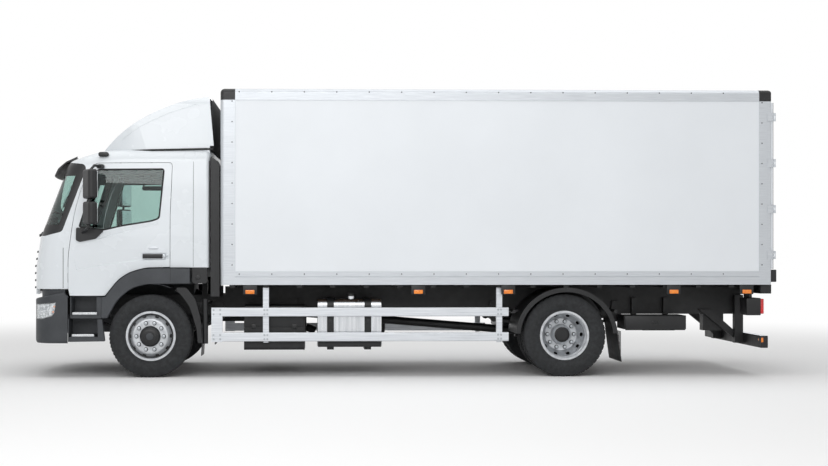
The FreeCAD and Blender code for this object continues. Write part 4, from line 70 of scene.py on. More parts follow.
# shades: darker and lighter colour, and patch the size in mm over which they mix; rough: lowest and highest;
# stretch: under 1 draws the pattern out along that axis; grain: kind, size in mm, depth in mm, strength;
# wave: size, depth and strength of a slow unevenness below the grain; rest: values of the shader's sockets
finishes = {
    # stove-enamelled steel of the cab: deep gloss, faint orange peel, slightly uneven white
    "cab_paint": {"name": "baked_enamel_white", "shades": ("#DFE4E8", "#E3E8EC"), "patch": 900,
                  "rough": (0.24, 0.3), "grain": ("cloud", 9, 0.4, 0.12),
                  "rest": {"Coat_Weight": 0.5, "Coat_Roughness": 0.06}},
    # polyester gelcoat on glass-fibre sandwich panels: even white, softly waved by its core, half gloss
    "box_panel": {"name": "gelcoat_sandwich_panel", "shades": ("#E6EAEE", "#EAEEF2"), "patch": 1400,
                  "rough": (0.36, 0.42), "grain": ("cloud", 6, 0.3, 0.08), "wave": (420, 6, 0.1)},
    # satin anodised aluminium extrusion of the load box: dull silver, fine draw lines along the profile
    "box_profile": {"name": "anodised_aluminium_profile", "shades": ("#BCC0C5", "#CCD0D4"), "patch": 5,
                    "stretch": (0.02, 1, 1), "rough": (0.36, 0.5), "grain": ("cloud", 3, 0.2, 0.2),
                    "rest": {"Metallic": 0.6}},
    # mill-finish aluminium of the side guards: brighter, draw lines and faint smears from handling
    "aluminium_rail": {"name": "drawn_aluminium_rail", "shades": ("#C6CACF", "#DDE0E4"), "patch": 8,
                       "stretch": (0.015, 1, 1), "rough": (0.28, 0.48), "grain": ("cloud", 2.5, 0.2, 0.25),
                       "rest": {"Metallic": 0.8}},
    # rolled and polished aluminium sheet of the tank: soft upright streaks, a slight ripple in the sheet
    "tank_aluminium": {"name": "polished_aluminium_sheet", "shades": ("#C9CCD0", "#DCDEE1"), "patch": 30,
                       "stretch": (1, 0.05, 0.05), "rough": (0.16, 0.32), "grain": ("cloud", 5, 0.1, 0.1),
                       "wave": (260, 4, 0.18), "rest": {"Metallic": 1.0}},
    # thick satin paint on the steel frame, a little greyer in patches
    "chassis_paint": {"name": "chassis_paint_black", "shades": ("#0C0D0E", "#191A1C"), "patch": 140,
                      "rough": (0.36, 0.62), "grain": ("cloud", 12, 0.6, 0.2)},
    # sand-cast housings of engine, axle and gearbox: coarse grain under grey-black paint
    "engine": {"name": "cast_iron_painted", "shades": ("#1A1C1D", "#2C2F30"), "patch": 90,
               "rough": (0.5, 0.7), "grain": ("cloud", 5, 1.2, 0.35), "rest": {"Metallic": 0.15}},
    # dark grey polypropylene of bumper, steps and flares: matt, its 1 mm leather grain drawn at 4 mm to show
    "grey_plastic": {"name": "polypropylene_moulded_grey", "shades": ("#33363A", "#3D4044"), "patch": 260,
                     "rough": (0.46, 0.62), "grain": ("cells", 4, 0.4, 0.3)},
    # black ABS of mirrors, visor, grille and caps: smooth satin
    "black_plastic": {"name": "abs_moulded_black", "shades": ("#0D0E10", "#17181A"), "patch": 180,
                      "rough": (0.32, 0.5), "grain": ("cloud", 3, 0.2, 0.15)},
    # vulcanised tyre rubber: near black and matt, greyer in patches
    "tyre": {"name": "tyre_rubber", "shades": ("#1C1D1F", "#282A2C"), "patch": 50, "rough": (0.68, 0.88),
             "grain": ("cloud", 4, 0.5, 0.3)},
    # powder-coated steel disc wheels: satin silver-grey with a little brake dust
    "wheel_steel": {"name": "powder_coated_steel_silver", "shades": ("#B7BABE", "#CFD2D5"), "patch": 60,
                    "rough": (0.32, 0.5), "grain": ("cloud", 5, 0.3, 0.2), "rest": {"Metallic": 0.55}},
    # laminated and toughened glass, green in the mass: clear, with a hard bright reflection
    "glass": {"name": "tinted_safety_glass", "shades": ("#BED5D0", "#C6DBD6"), "patch": 700,
              "rough": (0.0, 0.01), "rest": {"Transmission_Weight": 1.0, "IOR": 1.45}},
    # clear polycarbonate of the headlamps, hard-coated: bright edges, the lamp's inside shows through
    "lamp_lens": {"name": "polycarbonate_clear_lens", "shades": ("#DDE3E6", "#EDF1F3"), "patch": 300,
                  "rough": (0.03, 0.06), "rest": {"Alpha": 0.28, "Coat_Weight": 0.5}},
    # injection-moulded acrylic lenses: gloss outside, the small square prisms inside give the sparkle
    "red_lens": {"name": "acrylic_red_lens", "shades": ("#C8141B", "#E01B22"), "patch": 22,
                 "rough": (0.1, 0.16), "grain": ("prisms", 9, 2, 0.35),
                 "rest": {"Coat_Weight": 0.6, "Coat_Roughness": 0.03}},
    "orange_lens": {"name": "acrylic_orange_lens", "shades": ("#F07A12", "#FF9526"), "patch": 22,
                    "rough": (0.1, 0.16), "grain": ("prisms", 9, 2, 0.35),
                    "rest": {"Coat_Weight": 0.6, "Coat_Roughness": 0.03}},
    # birch plywood deck with brown phenolic film: the real 3 mm wire mesh is drawn at 8 mm to show
    "ply_floor": {"name": "phenolic_plywood_deck", "shades": ("#3A2C20", "#5A4330"), "patch": 300,
                  "stretch": (0.15, 1, 1), "rough": (0.42, 0.6), "grain": ("prisms", 8, 1.2, 0.4)},
    # textile-backed moulding of the cab floor and dashboard: dark felted grey
    "interior": {"name": "needle_felt_trim", "shades": ("#26282B", "#3A3D41"), "patch": 6,
                 "rough": (0.84, 0.95), "grain": ("cloud", 4, 1, 0.5), "rest": {"Sheen_Weight": 0.2}},
    # woven seat cloth over foam: small dark blue-grey weave with a soft sheen
    "seat_cloth": {"name": "woven_seat_cloth", "shades": ("#2E3338", "#434A51"), "patch": 9,
                   "rough": (0.82, 0.95), "grain": ("prisms", 5, 0.8, 0.5), "wave": (60, 3, 0.2),
                   "rest": {"Sheen_Weight": 0.35}},
    # extruded EPDM seals round glass and doors: dead matt black
    "seal": {"name": "epdm_rubber_seal", "shades": ("#141516", "#1E1F20"), "patch": 30, "rough": (0.6, 0.8),
             "grain": ("cloud", 6, 0.2, 0.2)},
    # faceted reflector inside the headlamps, vacuum-metallised: every facet catches another light
    "reflector": {"name": "metallised_faceted_reflector", "shades": ("#8C9196", "#EEF1F3"), "patch": 26,
                  "rough": (0.05, 0.15), "grain": ("prisms", 34, 14, 0.9), "rest": {"Metallic": 0.9}},
    # silvered mirror glass: bright, barely rippled
    "bright": {"name": "silvered_mirror_glass", "shades": ("#D5D9DC", "#E6E9EB"), "patch": 120,
               "rough": (0.05, 0.12), "grain": ("cloud", 40, 0.3, 0.1), "rest": {"Metallic": 1.0}},
    # zinc-plated bolts, wheel nut caps and lock gear: pale grey with a cool cloudy bloom
    "zinc": {"name": "zinc_plated_steel", "shades": ("#A3A8AC", "#C0C4C8"), "patch": 12, "rough": (0.3, 0.5),
             "grain": ("cloud", 3, 0.15, 0.2), "rest": {"Metallic": 0.9}},
    # punched aluminium of the step treads: bright and scuffed
    "tread_plate": {"name": "punched_aluminium_tread", "shades": ("#B9BCBF", "#E0E2E4"), "patch": 14,
                    "rough": (0.3, 0.6), "grain": ("cloud", 4, 0.4, 0.4), "rest": {"Metallic": 0.7}},
    # blank number plate: retroreflective sheet under clear film, its minute glass beads drawn at 3 mm to show
    "plate_sheet": {"name": "retroreflective_sheet", "shades": ("#D9DBD8", "#E8EAE7"), "patch": 40,
                    "rough": (0.3, 0.4), "grain": ("cells", 3, 0.1, 0.2)},
}
shadeStops = (0.35, 0.65)  # where along the cloud pattern the darker colour ends and the lighter one begins


def makeFinish(look):
    # Principled shader: colour, roughness and relief each run with their own pattern in Object coordinates
    material = bpy.data.materials.new(look["name"])
    material.use_nodes = True
    tree = material.node_tree
    tree.nodes.clear()
    place = addNode(tree, "ShaderNodeTexCoord").outputs["Object"]
    drawn = addNode(tree, "ShaderNodeMapping", [("Vector", place)],
                    Scale=look.get("stretch", (1, 1, 1))).outputs["Vector"]

    def pattern(kind, millimetres):
        scale = 1000 / millimetres
        if kind == "cloud":
            return addNode(tree, "ShaderNodeTexNoise", [("Vector", drawn)], Scale=scale,
                           Detail=4).outputs["Fac"]
        square = kind == "prisms"
        return addNode(tree, "ShaderNodeTexVoronoi", [("Vector", drawn)], Scale=scale,
                       distance="CHEBYCHEV" if square else "EUCLIDEAN",
                       Randomness=0 if square else 1).outputs["Distance"]

    def relief(height, depth, strength, below=()):
        return addNode(tree, "ShaderNodeBump", [("Height", height), *below], Strength=strength,
                       Distance=depth / 1000).outputs["Normal"]

    shader = addNode(tree, "ShaderNodeBsdfPrincipled", **look.get("rest", {}))
    ramp = addNode(tree, "ShaderNodeValToRGB", [("Fac", pattern("cloud", look["patch"]))])
    for stop, position, shade in zip(ramp.color_ramp.elements, shadeStops, look["shades"]):
        stop.position = position
        stop.color = linear(shade)
    tree.links.new(ramp.outputs["Color"], shader.inputs["Base Color"])
    low, high = look["rough"]
    span = addNode(tree, "ShaderNodeMapRange", [("Value", pattern("cloud", look["patch"] / 2.5))],
                   To_Min=low, To_Max=high)
    tree.links.new(span.outputs["Result"], shader.inputs["Roughness"])
    below = []
    if "wave" in look:
        size, depth, strength = look["wave"]
        below = [("Normal", relief(pattern("cloud", size), depth, strength))]
    if "grain" in look:
        kind, size, depth, strength = look["grain"]
        tree.links.new(relief(pattern(kind, size), depth, strength, below), shader.inputs["Normal"])
    addNode(tree, "ShaderNodeOutputMaterial", [("Surface", shader.outputs["BSDF"])])
    return material


materials = {key: makeFinish(look) for key, look in finishes.items()}
slotOf = {part["node"]: part["material_slot"] for part in frame["record"]["subparts"]}
for name, node in nodes.items():
    node.data.materials.clear()
    node.data.materials.append(materials[slotOf[name]])
print("materials:", len(materials))

frontAxle = (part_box("front_tyre_left")[0].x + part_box("front_tyre_left")[1].x) / 2
weld = 0.00001  # metres within which points are merged or count as lying on a cut


def spot(x, y, z):
    # millimetres, x counted from the front axle, to the frame's metres
    return Vector((x / 1000 + frontAxle, y / 1000, z / 1000))


def edgesOf(verts):
    return list(dict.fromkeys(edge for vert in verts for edge in vert.link_edges))


def pointsIn(geometry):
    return [part for part in geometry if isinstance(part, bmesh.types.BMVert)]


def roundOff(mesh, geometry, amount, affect="EDGES", steps=2):
    # rounds edges or corners by some mm
    bmesh.ops.bevel(mesh, geom=geometry, offset=amount / 1000, affect=affect, segments=steps, profile=0.5,
                    material=-1)


def about(centre, degrees, axis):
    # turn about a line through centre
    centre = spot(*centre)
    turn = Matrix.Rotation(math.radians(degrees), 4, axis)
    return Matrix.Translation(centre) @ turn @ Matrix.Translation(-centre)


def addBlock(mesh, low, high, edge=0, steps=2, turn=None):
    # box between two corners with its edges rounded
    low, high = spot(*low), spot(*high)
    made = bmesh.ops.create_cube(mesh, size=1)["verts"]
    bmesh.ops.scale(mesh, vec=high - low, verts=made)
    bmesh.ops.translate(mesh, vec=(low + high) / 2, verts=made)
    if turn:
        bmesh.ops.transform(mesh, matrix=turn, verts=made)
    if edge:
        roundOff(mesh, edgesOf(made), edge, steps=steps)


def addRod(mesh, start, end, radius, sides=16, edge=0, tip=None):
    # round bar between two points, with its rims rounded, or narrowing to the radius of its tip
    start, end = spot(*start), spot(*end)
    way = end - start
    stand = Matrix.Translation((start + end) / 2) @ way.to_track_quat("Z", "Y").to_matrix().to_4x4()
    made = bmesh.ops.create_cone(mesh, cap_ends=True, segments=sides, radius1=radius / 1000,
                                 radius2=(radius if tip is None else tip) / 1000, depth=way.length,
                                 matrix=stand)["verts"]
    if edge:
        rims = [rim for rim in edgesOf(made) if max(len(face.verts) for face in rim.link_faces) > 4]
        roundOff(mesh, rims, edge)


def addAll(mesh, blocks=(), rods=(), at=(0, 0, 0)):
    # blocks as (low corner, high corner, rounding, steps), rods as (start, end, radius, sides, rounding, tip),
    # with their points counted from the place at
    for add, rows in ((addBlock, blocks), (addRod, rods)):
        for row in rows:
            first, second = ([a + b for a, b in zip(point, at)] for point in row[:2])
            add(mesh, first, second, *row[2:])


def addPlate(mesh, corners, way, rounded=0, hollow=0, edge=0):
    # flat outline with rounded corners, kept as a frame where hollow gives its width, drawn out by way
    plate = bmesh.new()
    verts = [plate.verts.new(spot(*corner)) for corner in corners]
    plate.faces.new(verts)
    if rounded:
        roundOff(plate, verts, rounded, affect="VERTICES", steps=5)
    if hollow:
        inner = plate.faces[:]
        bmesh.ops.inset_region(plate, faces=inner, thickness=hollow / 1000, use_boundary=True,
                               use_even_offset=True)
        bmesh.ops.delete(plate, geom=inner, context="FACES_ONLY")
    drawn = bmesh.ops.extrude_face_region(plate, geom=plate.faces[:])["geom"]
    bmesh.ops.translate(plate, vec=Vector(way) / 1000, verts=pointsIn(drawn))
    if edge:
        bmesh.ops.recalc_face_normals(plate, faces=plate.faces)
        roundOff(plate, [e for e in plate.edges if len(e.link_faces) == 2 and e.calc_face_angle() > 1], edge)
    data = bpy.data.meshes.new("plate")
    plate.to_mesh(data)
    plate.free()
    mesh.from_mesh(data)
    bpy.data.meshes.remove(data)


def upright(x0, z0, x1, z1, y):
    # corners of a rectangle that faces the truck's side
    return [(x0, y, z0), (x1, y, z0), (x1, y, z1), (x0, y, z1)]


def addTurned(mesh, profile, centre, sides=48):
    # open or closed outline of (radius, reach along Y) points turned about the line through centre along Y
    centre = spot(*centre)
    verts = [mesh.verts.new(centre + Vector((0, reach / 1000, radius / 1000))) for radius, reach in profile]
    edges = [mesh.edges.new(pair) for pair in zip(verts, verts[1:])]
    bmesh.ops.spin(mesh, geom=verts + edges, cent=centre, axis=(0, 1, 0), angle=math.tau, steps=sides,
                   use_merge=True)


def addTwin(mesh):
    # mirrored copy of everything so far on the truck's other side
    made = bmesh.ops.duplicate(mesh, geom=mesh.verts[:] + mesh.edges[:] + mesh.faces[:])["geom"]
    bmesh.ops.scale(mesh, vec=(1, -1, 1), verts=pointsIn(made))


def makePiece(name, mesh, body, slot, replaced=(), look=None, sharp=32, soft=None):
    # finished piece on its body, its faces outward and smooth but for the sharp edges; soft is the number of
    # subdivisions that round a padded piece
    bmesh.ops.remove_doubles(mesh, verts=mesh.verts, dist=weld)
    bmesh.ops.recalc_face_normals(mesh, faces=mesh.faces)
    for face in mesh.faces:
        face.smooth = True
    data = bpy.data.meshes.new(name)
    mesh.to_mesh(data)
    mesh.free()
    data.set_sharp_from_angle(angle=math.radians(sharp))
    data.materials.append(materials[look or slot])
    piece = bpy.data.objects.new(name, data)
    bpy.context.collection.objects.link(piece)
    if soft:
        rounding = piece.modifiers.new("rounding", "SUBSURF")
        rounding.levels = rounding.render_levels = soft
    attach(piece, body)
    if replaced:
        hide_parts(*replaced)


def makePair(name, mesh, body, slot, look=None):
    # the left piece and its mirrored twin, each on the body of its side
    twin = mesh.copy()
    bmesh.ops.scale(twin, vec=(1, -1, 1), verts=twin.verts)
    for side, half in (("left", mesh), ("right", twin)):
        makePiece(f"{name}_{side}", half, f"{body}_{side}", slot, look=look)


def nodeCopy(name):
    # merged copy of a CAD node's mesh, to be made into a new piece
    mesh = bmesh.new()
    mesh.from_mesh(nodes[name].data)
    mesh.transform(nodes[name].matrix_world)
    bmesh.ops.remove_doubles(mesh, verts=mesh.verts, dist=weld)
    return mesh


def cutAt(mesh, place, normal, clear=False):
    # parts the faces along a plane, and clears the side that the normal points to
    bmesh.ops.bisect_plane(mesh, geom=mesh.verts[:] + mesh.edges[:] + mesh.faces[:], plane_co=place,
                           plane_no=normal, dist=weld, clear_outer=clear)


# tyre section in mm: groove base and tread face, ribs by their reach from the middle, wall as (radius,
# reach), and the number of steps round it, of which every so many is a gap between blocks
tyre = {"base": 494, "crown": 507, "ribs": ((0, 22), (42, 78), (98, 124)),
        "steps": 192, "gapEvery": 4, "shoulderGap": 3,
        "wall": ((500, 129), (484, 138), (462, 145), (440, 151.5), (418, 155), (398, 156.5), (384, 155.5),
                 (378, 153), (372, 153), (366, 151), (352, 146), (332, 134), (305, 112), (286, 110))}


def addTyre(mesh, centre, blocks):
    # spun casing whose ribs stand up from the groove base, cut through into blocks or at the shoulders alone
    across = sorted({reach for rib in tyre["ribs"] for reach in rib if reach})
    half = [(tyre["base"], reach) for reach in across] + list(tyre["wall"])
    profile = [(radius, -reach) for radius, reach in reversed(half)] + half
    before = len(mesh.faces)
    addTurned(mesh, profile + [profile[0]], centre, tyre["steps"])
    mesh.faces.ensure_lookup_table()
    middle = spot(*centre)
    raised = []
    for face in mesh.faces[before:]:
        offset = (face.calc_center_median() - middle) * 1000
        if math.hypot(offset.x, offset.z) < tyre["base"] - 2:
            continue
        step = round(math.atan2(offset.z, offset.x) / math.tau * tyre["steps"] - 0.5) % tyre["steps"]
        for row, (low, high) in enumerate(tyre["ribs"]):
            if not low <= abs(offset.y) <= high:
                continue
            if blocks:
                gap = (step + 2 * row + (offset.y > 0)) % tyre["gapEvery"] == 0
            else:
                gap = row == len(tyre["ribs"]) - 1 and step % tyre["shoulderGap"] == 0
            if not gap:
                raised.append(face)
    lifted = bmesh.ops.extrude_face_region(mesh, geom=raised)["geom"]
    grow = tyre["crown"] / tyre["base"]
    bmesh.ops.scale(mesh, vec=(grow, 1, grow), space=Matrix.Translation(-middle), verts=pointsIn(lifted))


# wheels in mm: middles of the tyres and faces of the discs; washer, nut and cap as rods from the disc's face;
# outlines as (radius, reach along Y from the tyre's middle)
wheels = {"height": 507, "frontY": -1042.5, "rearX": 5100, "rearY": (-1042.5, -696.5),
          "frontFace": -1215.5, "rearFace": -882.5,
          "nuts": 10, "nutCircle": 167.5,
          "nut": (((0, 0, 0), (0, -4, 0), 26, 20), ((0, -4, 0), (0, -18, 0), 17, 6, 1.5)),
          "cap": (((0, -18, 0), (0, -32, 0), 20, 20, 6),),
          "frontCover": ((126, -173.3), (126, -180), (112, -206), (84, -226), (50, -228.5), (46, -226),
                         (0, -226)),
          "coverRings": (((95, -212), (95, -217.5), (101, -217.5), (101, -210)),
                         ((63, -224), (63, -229.5), (69, -229.5), (69, -222))),
          "coverDisc": ((44, -225), (44, -229), (38, -231), (0, -231)),
          "rearCover": ((95, 56), (95, 48), (78, 44), (74, 49), (0, 49)),
          "coverBolts": 8, "boltCircle": 86, "bolt": (((0, 48, 0), (0, 40, 0), 6, 6),),
          "shield": (196, 268, 4), "frontShield": -88, "rearShield": 186}


def onCircle(x, radius, count):
    # (x, z) places evenly round a wheel's axis
    for i in range(count):
        turn = math.tau * i / count
        yield x + radius * math.cos(turn), wheels["height"] + radius * math.sin(turn)


def makeTyres():
    height = wheels["height"]
    for side, way in (("left", 1), ("right", -1)):
        front = bmesh.new()
        addTyre(front, (0, wheels["frontY"] * way, height), blocks=False)
        makePiece(f"front_tread_{side}", front, f"front_wheel_{side}", "tyre", [f"front_tyre_{side}"],
                  sharp=40)
        rear = bmesh.new()
        for y in wheels["rearY"]:
            addTyre(rear, (wheels["rearX"], y * way, height), blocks=True)
        makePiece(f"rear_tread_{side}", rear, f"rear_wheel_{side}", "tyre", [f"rear_tyres_{side}"],
                  sharp=40)


def makeNuts():
    for wheel, middle, face in (("front_wheel", 0, wheels["frontFace"]),
                                ("rear_wheel", wheels["rearX"], wheels["rearFace"])):
        nuts = bmesh.new()
        caps = bmesh.new()
        for x, z in onCircle(middle, wheels["nutCircle"], wheels["nuts"]):
            addAll(nuts, rods=wheels["nut"], at=(x, face, z))
            addAll(caps, rods=wheels["cap"], at=(x, face, z))
        makePair(wheel + "_nuts", nuts, wheel, "chassis_paint")
        makePair(wheel + "_nut_caps", caps, wheel, "wheel_steel", look="zinc")


def makeHubs():
    middle = (0, wheels["frontY"], wheels["height"])
    cover = bmesh.new()
    for profile in (wheels["frontCover"], *wheels["coverRings"]):
        addTurned(cover, profile, middle, 64)
    makePair("front_hub_cover", cover, "front_wheel", "black_plastic")
    disc = bmesh.new()
    addTurned(disc, wheels["coverDisc"], middle)
    makePair("front_hub_disc", disc, "front_wheel", "grey_plastic")
    hub = bmesh.new()
    y = wheels["rearY"][0]
    addTurned(hub, wheels["rearCover"], (wheels["rearX"], y, wheels["height"]))
    for x, z in onCircle(wheels["rearX"], wheels["boltCircle"], wheels["coverBolts"]):
        addAll(hub, rods=wheels["bolt"], at=(x, y, z))
    makePair("rear_hub_cover", hub, "rear_wheel", "black_plastic")
    inner, outer, thick = wheels["shield"]
    for name, body, x, reach in (("front_brake_shield", "knuckle", 0, wheels["frontShield"]),
                                 ("rear_brake_shield", "rear_wheel", wheels["rearX"], wheels["rearShield"])):
        shield = bmesh.new()
        addTurned(shield, [(inner, reach), (outer, reach), (outer, reach + thick), (inner, reach + thick),
                           (inner, reach)], (x, wheels["frontY"], wheels["height"]))
        makePair(name, shield, body, "chassis_paint")


makeTyres()
makeNuts()
makeHubs()
print("tyres, nuts and hub covers ready")

# side window and cab side in mm: outline (x, z), the side's lean above the waist, the rubber round the glass;
# header band inside the glass by its corners (x, z), and the padded bar along the roof with its two hangers
window = {"outline": ((-885, 1838), (-583, 1797), (-359, 1849), (15, 1910), (112, 1945), (172, 2567),
                      (-655, 2560)),
          "side": 1180, "lean": 0.045, "waist": 1730, "rubber": 20, "rubberThick": 7, "rounded": 40,
          "band": ((-640, 2552), (160, 2556), (152, 2478), (-668, 2478)), "bandInside": 16, "bandRounded": 8,
          "bar": ((-402, -1095, 2400), (23, -1052, 2462), 20, 4),
          "hangers": (((-380, -1075, 2455), (-380, -1065, 2640), 12),
                      ((0, -1075, 2455), (0, -1065, 2640), 12))}


def sideY(z, out=0):
    # left face of the cab at this height, moved out by some mm
    return -(window["side"] - window["lean"] * max(z - window["waist"], 0) + out)


def makeWindows():
    rubber = bmesh.new()
    addPlate(rubber, [(x, sideY(z, -4), z) for x, z in window["outline"]], (0, -window["rubberThick"], 0),
             window["rounded"], window["rubber"], edge=1.5)
    makePair("window_rubber", rubber, "door", "black_plastic", look="seal")
    band = bmesh.new()
    addPlate(band, [(x, sideY(z, -window["bandInside"]), z) for x, z in window["band"]], (0, 3, 0),
             window["bandRounded"])
    makePair("window_header_band", band, "door", "interior")
    bars = bmesh.new()
    addAll(bars, [window["bar"]], window["hangers"])
    addTwin(bars)
    makePiece("cab_grab_bars", bars, "cab", "interior")


# windscreen in mm: inner edge of its black border as a line (x, z) in side view, the border's foot and head,
# and the outer face by its x at the waist, its lean and the radius of its bow
screen = {"edgeLow": (-1107, 1915), "edgeHigh": (-932, 2463), "foot": 1872, "head": 2474,
          "front": -1485, "lean": 0.37, "bow": 4500}


def makeScreen():
    # the laminated glass is split into its clear middle and the black fired-on border
    low, high = screen["edgeLow"], screen["edgeHigh"]
    lean = (high[0] - low[0]) / (high[1] - low[1])
    cuts = ((spot(0, 0, screen["foot"]), Vector((0, 0, 1))), (spot(0, 0, screen["head"]), Vector((0, 0, -1))),
            (spot(low[0], 0, low[1]), Vector((-1, 0, lean))))
    for name, clear, slot in (("windscreen_glass", True, "glass"),
                              ("windscreen_border", False, "black_plastic")):
        mesh = nodeCopy("windscreen")
        for at, inward in cuts:
            cutAt(mesh, at, inward)
        wrong = [face for face in mesh.faces
                 if all((face.calc_center_median() - at).dot(inward) > 0 for at, inward in cuts) != clear]
        bmesh.ops.delete(mesh, geom=wrong, context="FACES")
        makePiece(name, mesh, "cab", slot, ["windscreen"])


# wipers in mm: pivot and blade tip of each along Y; joints of the arm as (z, distance out of the glass), its
# two radii; the blade's two ends as z, its radius, and how far it runs past the arm on both sides
wiper = {"spans": ((-760, -170), (-120, 470), (520, 980)), "pivotZ": 1748, "pivotOut": (-6, 26),
         "pivotRadius": 17, "arm": ((1750, 22), (1786, 24), (1806, 20)), "armRadii": (8, 5),
         "bladeZ": (1786, 1812), "bladeOut": 12, "bladeRadius": 7, "bladeTail": 170, "bladeTip": 60}


def onScreen(y, z, out):
    # point that stands out from the bowed, leaning windscreen
    x = screen["front"] + screen["lean"] * (z - window["waist"]) + y * y / (2 * screen["bow"])
    return (x - out, y, z)


def makeWipers():
    mesh = bmesh.new()
    thick, thin = wiper["armRadii"]
    bladeLow, bladeHigh = wiper["bladeZ"]
    for pivotY, tipY in wiper["spans"]:
        middleY = (pivotY + tipY) / 2
        foot, head = (onScreen(pivotY, wiper["pivotZ"], out) for out in wiper["pivotOut"])
        first, middle, last = (onScreen(y, *joint) for y, joint in
                               zip((pivotY, middleY, tipY - wiper["bladeTip"]), wiper["arm"]))
        addRod(mesh, foot, head, wiper["pivotRadius"], edge=3)
        addRod(mesh, first, middle, thick)
        addRod(mesh, middle, last, thin)
        addRod(mesh, onScreen(middleY - wiper["bladeTail"], bladeLow, wiper["bladeOut"]),
               onScreen(tipY, bladeHigh, wiper["bladeOut"]), wiper["bladeRadius"], 8)
    makePiece("wipers", mesh, "cab", "black_plastic")


makeWindows()
makeScreen()
makeWipers()
print("windows, windscreen and wipers ready")

# cab trim in mm on the left side: blocks and rods as addAll takes them; oval and marker as (x, z, x, z);
# seals as (x, width, lowest z, highest z); the strip under the roof deflector, and the black sheet over the
# deflector's back that is painted shade behind the cab, by their points; mirrors as the turned head's (x, y),
# their glass between two heights
cabTrim = {"handle": ((-96, -1197, 1458), (150, -1186, 1514), 5),
           "handleEnd": ((152, -1196, 1460), (184, -1186, 1512), 5),
           "lock": ((206, -1178, 1486), (206, -1184, 1486), 12, 24, 2),
           "oval": (-28, 1566, 96, 1606), "ovalFace": -1179, "ovalRise": 4,
           "marker": (-644, 2711, -518, 2767), "markerFace": -1100, "markerRise": 46,
           "seals": ((519, 4, 1358, 1730), (519, 4, 1730, 2650), (712, 12, 1352, 1730), (712, 12, 1730, 2660),
                     (-1068, 6, 1095, 1590)),
           "sealRise": 2, "flareSeam": ((245, -1231, 1172), (249, -1229, 1338)),
           "roofStrip": ((-390, -1020, 2768), (0, -1062, 2782), (752, -1062, 2800)), "stripHeight": 26,
           "fairingShadeSheet": ((736, 0, 2800), (736, -1040, 2800), (736, -1015, 3330), (736, -905, 3440),
                           (736, 0, 3440)),
           "mirror": (-705, -1390), "mirrorTurn": 32, "mirrorGlass": ((2202, 2518), (1890, 2128)),
           "glassHalfWidth": 102, "glassBehind": (54, 58),
           "catches": (((578, -1168, 1227), (578, -1184, 1227), 30, 32, 4),
                       ((578, -1184, 1227), (578, -1190, 1227), 12, 6))}


def makeDoorTrim():
    handle = bmesh.new()
    addAll(handle, [cabTrim["handle"]])
    makePair("door_handle", handle, "door", "black_plastic")
    end = bmesh.new()
    addAll(end, [cabTrim["handleEnd"]], [cabTrim["lock"]])
    makePair("door_lock", end, "door", "grey_plastic", look="zinc")
    # the pale grey oval plate above the handle is painted shade: it stands in for the shade in the finger
    # recess
    oval = bmesh.new()
    addPlate(oval, upright(*cabTrim["oval"], cabTrim["ovalFace"]), (0, -cabTrim["ovalRise"], 0), 19, edge=1)
    makePair("door_oval", oval, "door", "box_profile")


def makeSealsAndShadeSheet():
    strips = bmesh.new()
    for x, wide, low, high in cabTrim["seals"]:
        addPlate(strips, [(x, sideY(low, -1), low), (x + wide, sideY(low, -1), low),
                          (x + wide, sideY(high, -1), high), (x, sideY(high, -1), high)],
                 (0, -cabTrim["sealRise"], 0))
    addBlock(strips, *cabTrim["flareSeam"])
    points = cabTrim["roofStrip"]
    for start, end in zip(points, points[1:]):
        above = [(x, y, z + cabTrim["stripHeight"]) for x, y, z in (end, start)]
        addPlate(strips, [start, end, *above], (0, -4, 0))
    # black sheet over the deflector's back: painted shade, standing in for the shade between cab and box
    addPlate(strips, cabTrim["fairingShadeSheet"], (6, 0, 0))
    addTwin(strips)
    makePiece("cab_side_seals_and_shade_sheet", strips, "cab", "black_plastic", look="seal")


def makeCabTrim():
    marker = bmesh.new()
    addPlate(marker, upright(*cabTrim["marker"], cabTrim["markerFace"]), (0, -cabTrim["markerRise"], 0), 27,
             edge=5)
    addTwin(marker)
    makePiece("roof_markers", marker, "cab", "black_plastic")
    makeSealsAndShadeSheet()
    x, y = cabTrim["mirror"]
    front, rear = cabTrim["glassBehind"]
    half = cabTrim["glassHalfWidth"]
    glass = bmesh.new()
    for low, high in cabTrim["mirrorGlass"]:
        addBlock(glass, (x + front, y - half, low), (x + rear, y + half, high), 1.5,
                 turn=about((x, y, 0), cabTrim["mirrorTurn"], "Z"))
    makePair("mirror_glass", glass, "door", "glass", look="bright")
    boss = bmesh.new()
    addAll(boss, rods=cabTrim["catches"])
    addTwin(boss)
    makePiece("catch_bosses", boss, "cab", "black_plastic")


# step strips in mm: body, front and rear x, outer y, top z; their width and outer lip; and the punched studs
# by pitch, rows from the outer edge, and as rods on the top and on the lip
treads = {"upper": ("cab", -944, -650, -1222, 798), "lower": ("chassis", -948, -684, -1228, 531)}
tread = {"wide": 48, "thick": 2, "lip": 24, "lipOut": 1.6, "lipIn": 0.4, "edge": 0.8, "margin": 16}
stud = {"pitch": 21, "rows": (14, 34), "top": (((0, 0, 0), (0, 0, 3), 5.5, 8, 0, 3),),
        "side": (((0, 0, 0), (0, -1.8, 0), 5.5, 8, 0, 3),)}


def makeTreads():
    for name, (body, x0, x1, y, z) in treads.items():
        mesh = bmesh.new()
        top = z + tread["thick"]
        middle = z - tread["lip"] / 2
        outer = y - tread["lipOut"]
        addBlock(mesh, (x0, y, z), (x1, y + tread["wide"], top), tread["edge"])
        addBlock(mesh, (x0, outer, z - tread["lip"]), (x1, y + tread["lipIn"], top), tread["edge"])
        for i in range(int((x1 - x0 - 20) / stud["pitch"]) + 1):
            x = x0 + tread["margin"] + i * stud["pitch"]
            for row in stud["rows"]:
                addAll(mesh, rods=stud["top"], at=(x, y + row, top))
            addAll(mesh, rods=stud["side"], at=(x, outer, middle))
        addTwin(mesh)
        makePiece(f"{name}_step_tread", mesh, body, "grey_plastic", look="tread_plate")


makeDoorTrim()
makeCabTrim()
makeTreads()
print("cab trim and step treads ready")

